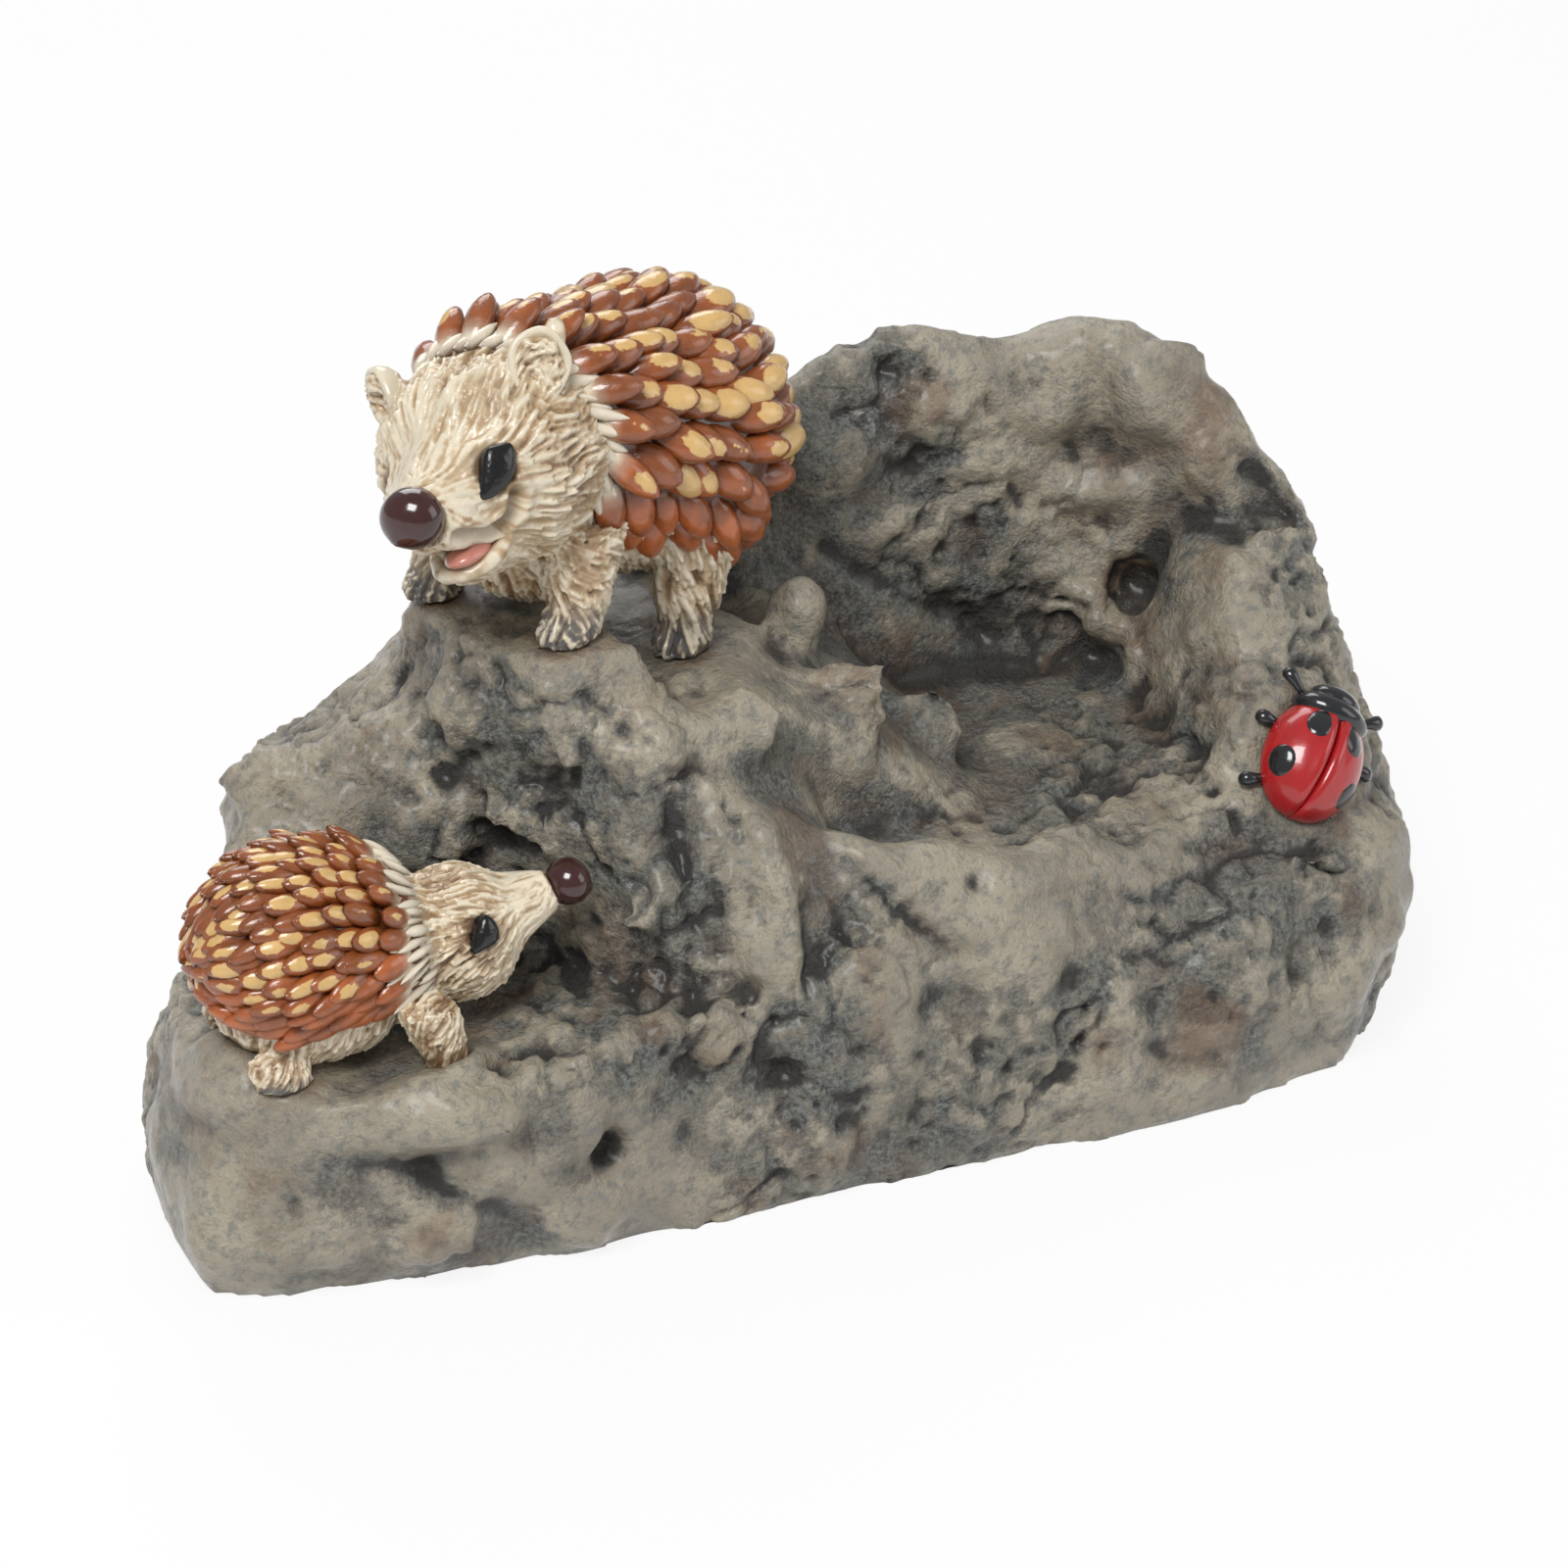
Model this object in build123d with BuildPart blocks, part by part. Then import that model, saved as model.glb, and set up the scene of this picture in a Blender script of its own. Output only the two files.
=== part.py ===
from build123d import *
import math
import os

os.makedirs("parts", exist_ok=True)

# Rock: overall sizes, the level that the walls' shares refer to, and the heights of its standing places
rock_width = 186.0
rock_depth = 94.0
wall_height = 92.5
hill_height = 72.0
step_height = 61.0
basin_height = 36.0
ledge_height = 29.0
half_width = rock_width / 2
half_depth = rock_depth / 2

# How far the rounded bosses stand out of the rock
boss_height = 2.2

# Room that the rock leaves round the large quill coat
coat_clearance = 0.6

# Large hedgehog: coat and body, head, face and legs
large_coat_radius = 20.4
large_coat_thickness = 2.6
large_coat_rise = 16.2
large_head_radius = 15.5
large_head_rise = 25.0
large_nose_radius = 4.3
large_eye_length = 5.4
large_ear_radius = 3.9
large_foot_length = 9.0
large_stance = 23.0
large_tongue_length = 7.0
large_quill_length = 9.8
large_quill_width = 5.8

# Small hedgehog: the same pieces at its own sizes
small_coat_radius = 13.0
small_coat_thickness = 2.0
small_coat_rise = 15.2
small_head_radius = 9.3
small_head_rise = 12.2
small_nose_radius = 3.2
small_eye_length = 3.6
small_ear_radius = 2.3
small_foot_length = 7.0
small_stance = 24.0
small_quill_length = 7.6
small_quill_width = 4.4

# Ladybird
ladybird_length = 17.5
ladybird_width = 15.0
ladybird_dome_height = 6.6
ladybird_belly_height = 1.0
ladybird_seam_gap = 0.3
ladybird_spot_radius = 1.9
ladybird_spot_height = 0.35
ladybird_leg_width = 1.9

# How many flat sides round each turned shape, and how many quills round each coat
body_sides = 12
head_sides = 12
small_sides = 8
face_sides = 8
boss_sides = 6
spot_sides = 8
large_quills_around = 20
large_quill_rows = 10
small_quills_around = 17
small_quill_rows = 8

# Turns in degrees: where each animal and the ladybird face, and how their heads are held
large_heading = 208.0
large_head_heading = 222.0
large_head_lean = 21.0
jaw_droop = -8.0
small_heading = 0.0
small_head_heading = -5.0
small_head_pitch = 16.0
ladybird_heading = 35.0
ladybird_pitch = 40.0
ladybird_lean = 45.0
perch_spread = -12.0

# Turns of the quill coats in degrees: lift, first and last ring of the round part, slant of the belly
quill_lift = 20.0
first_ring_turn = 85.0
last_ring_turn = 172.0
large_belly_slant = 22.0
small_belly_slant = 8.0

# Directions of the rock's flanks in degrees: which way each looks, and how far it leans back
wall_heading = -98.0
wall_lean = 6.0
end_heading = -105.0
end_lean = 40.0
rim_heading = -85.0
rim_lean = 62.0
front_heading = -95.0
front_lean = 18.0
hill_heading = -120.0
hill_lean = 28.0
ledge_heading = -115.0
ledge_lean = 12.0
boss_turn = 25.0


def corners(shares):
    """plan outline from shares of the rock's half width and half depth"""
    return [(x * half_width, y * half_depth) for x, y in shares]


def lump(*levels):
    """boulder between unlike level outlines, each given as its height and its corners"""
    with BuildPart() as block:
        for height, points in levels:
            with BuildSketch(Plane.XY.offset(height)):
                with BuildLine():
                    Polyline(*points, close=True)
                make_face()
        loft(ruled=True)
    return block.part


def mound(*levels):
    """plain boulder without hollows round level outlines, each given as its height and its corners"""
    with BuildPart() as block:
        ConvexPolyhedron([(x, y, height) for height, points in levels for x, y in points])
    return block.part


def rib(sections):
    """upright wall along X, each section given as its place and its corners in depth and height"""
    rings = [[(x_share * half_width, y * half_depth, z * wall_height) for y, z in shares]
             for x_share, shares in sections]
    with BuildPart() as block:
        for near, far in zip(rings, rings[1:]):
            ConvexPolyhedron(near + far)
    return block.part


def frame_at(origin, heading, pitch=0.0, roll=0.0):
    """plane whose X points forward, Y to the left and Z up"""
    turn, rise, lean = math.radians(heading), math.radians(pitch), math.radians(roll)
    forward = Vector(math.cos(turn) * math.cos(rise), math.sin(turn) * math.cos(rise), math.sin(rise))
    level_left = Vector(-math.sin(turn), math.cos(turn), 0)
    level_up = forward.cross(level_left)
    up = level_up * math.cos(lean) - level_left * math.sin(lean)
    return Plane(origin=origin, x_dir=forward, z_dir=up)


def moved(frame, ahead, left, up):
    """the same plane with its origin moved along its own directions"""
    return Plane(origin=frame.from_local_coords((ahead, left, up)), x_dir=frame.x_dir, z_dir=frame.z_dir)


def facing(frame, ahead=0.0, up=0.0):
    """sketch plane across the forward direction, with its own X to the left and Y up"""
    return Plane(origin=frame.from_local_coords((ahead, 0, up)), x_dir=frame.y_dir, z_dir=frame.x_dir)


def oval(half_wide, half_high, sides):
    """corners of a many-sided oval, with a flat at its foot"""
    turns = [2 * math.pi * (step + 0.5) / sides - math.pi / 2 for step in range(sides)]
    return [(half_wide * math.cos(turn), half_high * math.sin(turn)) for turn in turns]


def round_points(frame, half_long, half_wide, half_high, shares, sides):
    """points of a rounded body along the forward direction, its profile given as shares of the half sizes"""
    points = []
    for ahead, reach in shares:
        for left, up in oval(half_wide * reach, half_high * reach, sides):
            points.append(frame.from_local_coords((ahead * half_long, left, up)))
    return points


def turned(frame, half_long, half_wide, half_high, shares, sides):
    """rounded solid along the forward direction, its profile given as shares of the three half sizes"""
    with BuildPart() as block:
        ConvexPolyhedron(round_points(frame, half_long, half_wide, half_high, shares, sides))
    return block.part


def limb(frame, sections, sides):
    """leg with a paw: level ovals, each given as height, place ahead, half length and half width"""
    rings = [[frame.from_local_coords((ahead + x, y, height)) for x, y in oval(half_long, half_wide, sides)]
             for height, ahead, half_long, half_wide in sections]
    with BuildPart() as block:
        for lower, upper in zip(rings, rings[1:]):
            ConvexPolyhedron(lower + upper)
    return block.part


# Profiles as shares: place along the forward direction, then reach out from it
ball_shares = [(-1.0, 0.18), (-0.84, 0.54), (-0.46, 0.89), (0.0, 1.0), (0.46, 0.89), (0.84, 0.54),
               (1.0, 0.18)]
torso_shares = [(-1.0, 0.16), (-0.87, 0.5), (-0.5, 0.87), (0.0, 1.0), (0.45, 0.95), (0.85, 0.84), (1.2, 0.64),
                (1.5, 0.34)]
shell_shares = [(-1.0, 0.16), (-0.87, 0.5), (-0.5, 0.87), (0.0, 1.0), (0.4, 0.92), (0.72, 0.7)]
skull_shares = [(-0.95, 0.3), (-0.78, 0.66), (-0.4, 0.93), (0.0, 1.0), (0.4, 0.92), (0.76, 0.64)]
muzzle_shares = [(0.0, 0.72), (0.6, 0.66), (1.05, 0.46), (1.46, 0.27)]
snout_shares = [(0.0, 0.76), (0.6, 0.6), (1.0, 0.38), (1.46, 0.24)]
boss_shares = [(-1.6, 0.6), (0.0, 1.0), (1.0, 0.5)]
bean_shares = [(-1.0, 0.3), (-0.6, 0.8), (0.0, 1.0), (0.6, 0.8), (1.0, 0.3)]
ear_shares = [(-0.5, 0.6), (-0.1, 0.95), (0.3, 1.0), (0.5, 0.84)]
ear_dish_shares = [(0.1, 0.35), (0.62, 0.72)]

# Corners of a small boulder as shares of its reach
boulder_corners = [(1.0, 0.1), (0.62, 0.72), (-0.08, 1.0), (-0.78, 0.6), (-0.96, -0.2), (-0.5, -0.86),
                   (0.34, -0.92)]


def blend(first, second, share):
    """value part of the way from the first to the second"""
    return first + (second - first) * share


def coat_ring(torso_frame, radius, hood_frame, hood_radius, hood_share, share):
    """centre, directions and reach of a coat's ring, part of the way from the face to the tail"""
    if share < hood_share:
        part = share / hood_share
        turn = math.radians(first_ring_turn)
        first_centre = torso_frame.origin + torso_frame.x_dir * (radius * math.cos(turn))
        centre = blend(hood_frame.origin, first_centre, part)
        forward = blend(hood_frame.x_dir, torso_frame.x_dir, part)
        up = blend(hood_frame.z_dir, torso_frame.z_dir, part)
        return centre, forward, up, blend(hood_radius, radius * math.sin(turn), part)
    part = (share - hood_share) / (1 - hood_share)
    turn = math.radians(blend(first_ring_turn, last_ring_turn, part))
    centre = torso_frame.origin + torso_frame.x_dir * (radius * math.cos(turn))
    return centre, torso_frame.x_dir, torso_frame.z_dir, radius * math.sin(turn)


def ring_spot(ring, side_turn):
    """point of a ring, its turn counted from the top towards the left"""
    centre, forward, up, reach = ring
    left = up.cross(forward)
    return centre + (up * math.cos(side_turn) + left * math.sin(side_turn)) * reach


def quill_seats(shape, radius, hood_share, root_depth, around, rows, belly_plane):
    """planes of a coat's quills in staggered rings, each X pointing along its quill"""
    seats = []
    row_share = 1 / (rows - 1)
    lift = math.radians(quill_lift)
    for row in range(rows):
        share = row * row_share
        ring = coat_ring(*shape, hood_share, share)
        ring_ahead = coat_ring(*shape, hood_share, share - 0.2 * row_share)
        ring_behind = coat_ring(*shape, hood_share, share + 0.2 * row_share)
        count = max(4, round(around * ring[3] / radius))
        for step in range(count):
            side_turn = 2 * math.pi * (step + 0.5 * (row % 2)) / count - math.pi
            spot = ring_spot(ring, side_turn)
            if belly_plane.to_local_coords(spot).Z < 0:
                continue
            backward = (ring_spot(ring_behind, side_turn) - ring_spot(ring_ahead, side_turn)).normalized()
            across = ring_spot(ring, side_turn + row_share) - ring_spot(ring, side_turn - row_share)
            outward = across.cross(backward).normalized()
            along = backward * math.cos(lift) + outward * math.sin(lift)
            normal = outward * math.cos(lift) - backward * math.sin(lift)
            seats.append(Plane(origin=spot - outward * root_depth, x_dir=along, z_dir=normal))
    return seats


def quill(length, width):
    """one quill along +X: a leaf, full in its middle and pointed at its tip"""
    thickness = 0.52 * width
    points = [(length, 0, 0)]
    for along, reach in ((0.0, 0.7), (0.55, 1.0)):
        ahead, side, height = along * length, width / 2 * reach, thickness * reach
        points += [(ahead, -side, 0), (ahead, side, 0), (ahead, 0, 0.6 * height), (ahead, 0, -0.4 * height)]
    with BuildPart() as leaf:
        ConvexPolyhedron(points)
    return leaf.part


def coat(shape, hood_share, body, belly_plane, quill_length, quill_width, around, rows, root_depth):
    """quill coat: a shell from the hood behind the face to the tail, with quills rooted in it"""
    torso_frame, radius, hood_frame, hood_radius = shape
    leaf = quill(quill_length, quill_width)
    seats = quill_seats(shape, radius, hood_share, root_depth, around, rows, belly_plane)
    shell_points = round_points(torso_frame, radius, radius, radius, shell_shares, body_sides)
    hood_points = round_points(hood_frame, hood_radius, hood_radius, hood_radius, [(0, 1)], body_sides)
    with BuildPart() as block:
        ConvexPolyhedron(shell_points + hood_points)
        split(bisect_by=belly_plane, keep=Keep.TOP)
        with Locations(*seats):
            add(leaf)
        add(body, mode=Mode.SUBTRACT)
    with BuildPart() as whole:
        add([solid for solid in block.part.solids() if solid.volume > leaf.volume / 4])
    return whole.part


def legs(frame, length, side_reach, ahead, drop, shares):
    """a pair of legs, left and right, whose paws stand on one level"""
    pair = []
    for side in (1, -1):
        foot = moved(frame, ahead, side * side_reach, -drop)
        sections = [(h * length, a * length, l * length, w * length) for h, a, l, w in shares]
        pair.append(limb(foot, sections, small_sides))
    return pair


def ears(frame, radius, ahead, side_reach, rise):
    """a pair of dished ears, turned a little outward"""
    cups, dishes = [], []
    for side in (1, -1):
        place = moved(frame, ahead, side * side_reach, rise)
        outward = frame.x_dir + frame.y_dir * 0.5 * side
        ear_plane = Plane(origin=place.origin, x_dir=outward, z_dir=frame.z_dir)
        cups.append(turned(ear_plane, radius, radius, radius, ear_shares, small_sides))
        dishes.append(turned(ear_plane, radius, radius, radius, ear_dish_shares, small_sides))
    return cups, dishes


def eye_at(head_frame, head_radius, length, side, ahead_share, side_share, up_share):
    """bean of an eye on one side of the head"""
    place = moved(head_frame, ahead_share * head_radius, side * side_share * head_radius,
                  up_share * head_radius)
    return turned(place, length / 2, 0.3 * length, 0.44 * length, bean_shares, small_sides)


def knob(x_share, y_share, height, reach, rise):
    """small boulder, narrow above and below"""
    levels = []
    for level_share, reach_share in ((-1.0, 0.4), (-0.2, 1.0), (0.5, 0.86), (1.0, 0.3)):
        spread = reach * reach_share
        points = [(x_share * half_width + x * spread, y_share * half_depth + y * spread)
                  for x, y in boulder_corners]
        levels.append((height + level_share * rise, points))
    return mound(*levels)


def bosses(heading, lean, height, places):
    """rounded bosses on one flank of the rock: shares for the place, then for half width and half height"""
    made = []
    for number, (x_share, y_share, z_share, wide_share, tall_share) in enumerate(places):
        flank = frame_at((x_share * half_width, y_share * half_depth, z_share * height), heading, lean,
                         boss_turn * number)
        made.append(turned(flank, boss_height, wide_share * half_width, tall_share * half_width, boss_shares,
                           boss_sides))
    return made


# Standing places of the two animals and the ladybird on the rock
large_frame = frame_at((-0.38 * half_width, 0.01 * half_depth, hill_height), large_heading)
small_frame = frame_at((-0.66 * half_width, -0.53 * half_depth, ledge_height), small_heading)
ladybird_frame = frame_at((0.808 * half_width, -0.54 * half_depth, 0.425 * wall_height), ladybird_heading,
                          ladybird_pitch, ladybird_lean)

# Large hedgehog: frames of its torso and head
large_torso_radius = large_coat_radius - large_coat_thickness
large_torso_frame = moved(large_frame, -1.41 * large_coat_radius, 0, large_coat_rise)
large_head_place = moved(large_frame, 0.2 * large_head_radius, 0.13 * large_head_radius, large_head_rise)
large_head_frame = frame_at(large_head_place.origin, large_head_heading, 0, large_head_lean)
large_rear_drop = hill_height - step_height

# Large hedgehog: the rounded masses of its body
large_torso = turned(large_torso_frame, large_torso_radius, large_torso_radius, large_torso_radius,
                     torso_shares, body_sides)
large_skull = turned(large_head_frame, large_head_radius, large_head_radius, 0.94 * large_head_radius,
                     skull_shares, head_sides)
large_muzzle = turned(large_head_frame, large_head_radius, large_head_radius, 0.94 * large_head_radius,
                      muzzle_shares, head_sides)
large_chest = turned(moved(large_frame, -0.55 * large_head_radius, 0, 0.62 * large_head_radius),
                     0.85 * large_head_radius, 0.66 * large_head_radius, 0.6 * large_head_radius,
                     ball_shares, head_sides)
large_jaw_place = moved(large_head_frame, 0.5 * large_head_radius, 0, -0.55 * large_head_radius)
large_jaw = turned(frame_at(large_jaw_place.origin, large_head_heading, jaw_droop, large_head_lean),
                   0.66 * large_head_radius, 0.4 * large_head_radius, 0.26 * large_head_radius,
                   ball_shares, small_sides)

# Large hedgehog: ears and legs
large_ears, large_ear_dishes = ears(large_head_frame, large_ear_radius, 0.02 * large_head_radius,
                                    0.74 * large_head_radius, 0.7 * large_head_radius)
large_front_leg_shares = [(0.0, 0.05, 0.56, 0.44), (0.2, 0.0, 0.6, 0.48), (0.45, -0.2, 0.5, 0.46),
                          (1.0, -0.35, 0.54, 0.52), (1.7, -0.5, 0.62, 0.58)]
large_rear_leg_shares = [(0.0, 0.0, 0.56, 0.44), (0.2, -0.02, 0.58, 0.46), (0.45, -0.15, 0.48, 0.44),
                         (1.0, -0.25, 0.6, 0.52), (2.2, -0.35, 0.84, 0.66)]
large_front_legs = legs(large_frame, large_foot_length, large_stance / 2, 0, 0, large_front_leg_shares)
large_rear_legs = legs(large_frame, large_foot_length, large_stance / 2, -1.16 * large_coat_radius,
                       large_rear_drop, large_rear_leg_shares)

# Large hedgehog: nose, eyes, mouth and tongue
with BuildPart() as large_hedgehog_nose:
    add(turned(moved(large_head_frame, 1.5 * large_head_radius, 0, 0), 0.95 * large_nose_radius,
               1.05 * large_nose_radius, large_nose_radius, ball_shares, face_sides))
large_eye_shares = (0.87, 0.54, 0.14)
with BuildPart() as large_hedgehog_left_eye:
    add(eye_at(large_head_frame, large_head_radius, large_eye_length, 1, *large_eye_shares))
with BuildPart() as large_hedgehog_right_eye:
    add(eye_at(large_head_frame, large_head_radius, large_eye_length, -1, *large_eye_shares))
mouth_frame = moved(large_head_frame, large_head_radius, 0, -0.46 * large_head_radius)
mouth_slot = turned(mouth_frame, large_tongue_length, 0.62 * large_tongue_length, 0.22 * large_tongue_length,
                    ball_shares, small_sides)
tongue_frame = moved(mouth_frame, -0.02 * large_tongue_length, 0, -0.1 * large_tongue_length)
with BuildPart() as large_hedgehog_tongue:
    add(turned(tongue_frame, 0.8 * large_tongue_length, 0.44 * large_tongue_length,
               0.15 * large_tongue_length, ball_shares, small_sides))

with BuildPart() as large_hedgehog_body:
    add(large_torso)
    add([large_skull, large_muzzle, large_chest, large_jaw] + large_ears + large_front_legs + large_rear_legs)
    add(large_ear_dishes + [mouth_slot], mode=Mode.SUBTRACT)
    add([large_hedgehog_nose.part, large_hedgehog_left_eye.part, large_hedgehog_right_eye.part,
         large_hedgehog_tongue.part], mode=Mode.SUBTRACT)

# Large hedgehog: quill coat, from the hood round the back of the head to the tail
large_hood_frame = moved(large_head_frame, -0.3 * large_head_radius, 0, 0)
large_coat_shape = (large_torso_frame, large_coat_radius, large_hood_frame, 0.98 * large_head_radius)
large_hood_share = 0.46
large_belly_place = moved(large_torso_frame, 0, 0, -0.68 * large_coat_radius)
large_belly_plane = frame_at(large_belly_place.origin, large_heading, large_belly_slant)
with BuildPart() as large_hedgehog_quill_coat:
    add(coat(large_coat_shape, large_hood_share, large_hedgehog_body.part, large_belly_plane,
             large_quill_length, large_quill_width, large_quills_around, large_quill_rows,
             0.5 * large_coat_thickness))

# Small hedgehog: it lies on the ledge and looks up
small_torso_radius = small_coat_radius - small_coat_thickness
small_torso_frame = moved(small_frame, -1.03 * small_coat_radius, 0, small_coat_rise)
small_head_place = moved(small_frame, 0.88 * small_head_radius, 0, small_head_rise)
small_head_frame = frame_at(small_head_place.origin, small_head_heading, small_head_pitch)
small_torso = turned(small_torso_frame, small_torso_radius, small_torso_radius, small_torso_radius,
                     torso_shares, body_sides)
small_skull = turned(small_head_frame, small_head_radius, small_head_radius, small_head_radius,
                     skull_shares, head_sides)
small_muzzle = turned(small_head_frame, 1.13 * small_head_radius, small_head_radius, small_head_radius,
                      snout_shares, head_sides)
small_neck = turned(moved(small_frame, -0.2 * small_head_radius, 0, 0.98 * small_head_rise),
                    1.1 * small_head_radius, 1.06 * small_head_radius, 1.06 * small_head_radius,
                    ball_shares, head_sides)
small_belly = turned(moved(small_frame, -0.9 * small_coat_radius, 0, 0.54 * small_coat_radius),
                     0.98 * small_coat_radius, 0.84 * small_coat_radius, 0.56 * small_coat_radius,
                     ball_shares, head_sides)
small_ears, small_ear_dishes = ears(small_head_frame, small_ear_radius, -0.95 * small_head_radius,
                                    0.86 * small_head_radius, 0.8 * small_head_radius)
small_front_leg_shares = [(0.0, 0.15, 0.55, 0.36), (0.18, 0.1, 0.56, 0.38), (0.45, -0.05, 0.46, 0.38),
                          (1.0, -0.25, 0.5, 0.5), (1.7, -0.45, 0.6, 0.6)]
small_rear_leg_shares = [(0.0, 0.1, 0.6, 0.34), (0.2, 0.05, 0.6, 0.36), (0.45, -0.1, 0.55, 0.34),
                         (0.7, -0.2, 0.4, 0.24)]
small_front_drop = 0.07 * ledge_height
small_front_legs = legs(small_frame, small_foot_length, small_stance / 2, 0.37 * small_foot_length,
                        small_front_drop, small_front_leg_shares)
small_rear_legs = legs(small_frame, small_foot_length, 0.36 * small_stance, -2.78 * small_foot_length, 0,
                       small_rear_leg_shares)

# Small hedgehog: nose and eyes
with BuildPart() as small_hedgehog_nose:
    add(turned(moved(small_head_frame, 1.74 * small_head_radius, 0, 0), 0.95 * small_nose_radius,
               1.05 * small_nose_radius, small_nose_radius, ball_shares, face_sides))
small_eye_shares = (0.24, 0.84, 0.36)
with BuildPart() as small_hedgehog_left_eye:
    add(eye_at(small_head_frame, small_head_radius, small_eye_length, 1, *small_eye_shares))
with BuildPart() as small_hedgehog_right_eye:
    add(eye_at(small_head_frame, small_head_radius, small_eye_length, -1, *small_eye_shares))

with BuildPart() as small_hedgehog_body:
    add(small_torso)
    add([small_skull, small_muzzle, small_neck, small_belly] + small_ears)
    add(small_front_legs + small_rear_legs)
    add(small_ear_dishes, mode=Mode.SUBTRACT)
    add([small_hedgehog_nose.part, small_hedgehog_left_eye.part, small_hedgehog_right_eye.part],
        mode=Mode.SUBTRACT)

# Small hedgehog: quill coat
small_hood_frame = moved(small_torso_frame, 1.05 * small_coat_radius, 0, -0.1 * small_coat_radius)
small_coat_shape = (small_torso_frame, small_coat_radius, small_hood_frame, 0.86 * small_coat_radius)
small_hood_share = 0.4
small_belly_place = moved(small_torso_frame, 0, 0, -0.6 * small_coat_radius)
small_belly_plane = frame_at(small_belly_place.origin, small_heading, small_belly_slant)
with BuildPart() as small_hedgehog_quill_coat:
    add(coat(small_coat_shape, small_hood_share, small_hedgehog_body.part, small_belly_plane,
             small_quill_length, small_quill_width, small_quills_around, small_quill_rows,
             0.5 * small_coat_thickness))

# Ladybird: belly plate, domed wing cases parted by a seam, head, legs and raised spots
with BuildPart() as ladybird_underbody:
    with BuildSketch(ladybird_frame):
        with BuildLine():
            Polyline(*oval(ladybird_length / 2, 0.44 * ladybird_width, 2 * small_sides), close=True)
        make_face()
    extrude(amount=ladybird_belly_height)

belly_top = moved(ladybird_frame, 0, 0, ladybird_belly_height)
dome = turned(moved(belly_top, -0.1 * ladybird_length, 0, 0), 0.5 * ladybird_length, ladybird_width / 2,
              ladybird_dome_height, ball_shares, head_sides)
head_dome = turned(moved(belly_top, 0.34 * ladybird_length, 0, 0), 0.22 * ladybird_length,
                   0.38 * ladybird_width, 0.76 * ladybird_dome_height, ball_shares, small_sides)
with BuildPart() as whole_dome:
    add(dome)
    split(bisect_by=belly_top, keep=Keep.TOP)
seam_sides = []
for side in (1, -1):
    seam = Plane(origin=moved(ladybird_frame, 0, side * ladybird_seam_gap / 2, 0).origin,
                 x_dir=ladybird_frame.x_dir, z_dir=ladybird_frame.y_dir * side)
    with BuildPart() as wing_case:
        add(whole_dome.part)
        split(bisect_by=seam, keep=Keep.TOP)
    seam_sides.append(wing_case.part)
with BuildPart() as ladybird_left_wing_case:
    add(seam_sides[0])
with BuildPart() as ladybird_right_wing_case:
    add(seam_sides[1])
with BuildPart() as ladybird_head:
    add(head_dome)
    split(bisect_by=belly_top, keep=Keep.TOP)
    add(whole_dome.part, mode=Mode.SUBTRACT)

# Ladybird: legs, each with its place along the body and its turn in degrees
leg_places = [(0.22, 58.0), (0.04, 88.0), (-0.22, 120.0)]
with BuildPart() as ladybird_legs:
    for side in (1, -1):
        for ahead_share, splay in leg_places:
            hip = moved(ladybird_frame, ahead_share * ladybird_length, 0, 0)
            turn = math.radians(splay) * side
            along = hip.x_dir * math.cos(turn) + hip.y_dir * math.sin(turn)
            with BuildSketch(Plane(origin=hip.origin, x_dir=along, z_dir=hip.z_dir)):
                with BuildLine():
                    Polyline((0, -ladybird_leg_width / 3), (0.56 * ladybird_width, -ladybird_leg_width / 3),
                             (0.62 * ladybird_width, -ladybird_leg_width / 2), (0.7 * ladybird_width, 0),
                             (0.62 * ladybird_width, ladybird_leg_width / 2),
                             (0.56 * ladybird_width, ladybird_leg_width / 3), (0, ladybird_leg_width / 3),
                             close=True)
                make_face()
    extrude(amount=0.8 * ladybird_belly_height)
    add(ladybird_underbody.part, mode=Mode.SUBTRACT)

# Ladybird: spots, each with its place along the body and its tilt in degrees
spot_places = [(0.14, 28.0), (-0.28, 57.0), (0.14, -28.0), (-0.28, -57.0)]
with BuildPart() as ladybird_spots:
    for ahead_share, tilt in spot_places:
        lean = math.radians(tilt)
        out = ladybird_frame.z_dir * math.cos(lean) + ladybird_frame.y_dir * math.sin(lean)
        middle = moved(belly_top, ahead_share * ladybird_length, 0, 0)
        reach = math.sqrt(1 - (2 * ahead_share + 0.2) ** 2)
        surface = reach / math.hypot(math.cos(lean) / ladybird_dome_height,
                                     2 * math.sin(lean) / ladybird_width)
        with BuildSketch(Plane(origin=middle.origin + out * (surface + ladybird_spot_height),
                               x_dir=ladybird_frame.x_dir, z_dir=out)):
            RegularPolygon(ladybird_spot_radius, spot_sides)
    extrude(amount=-4 * ladybird_spot_height)
    add(ladybird_left_wing_case.part, mode=Mode.SUBTRACT)
    add(ladybird_right_wing_case.part, mode=Mode.SUBTRACT)

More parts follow.
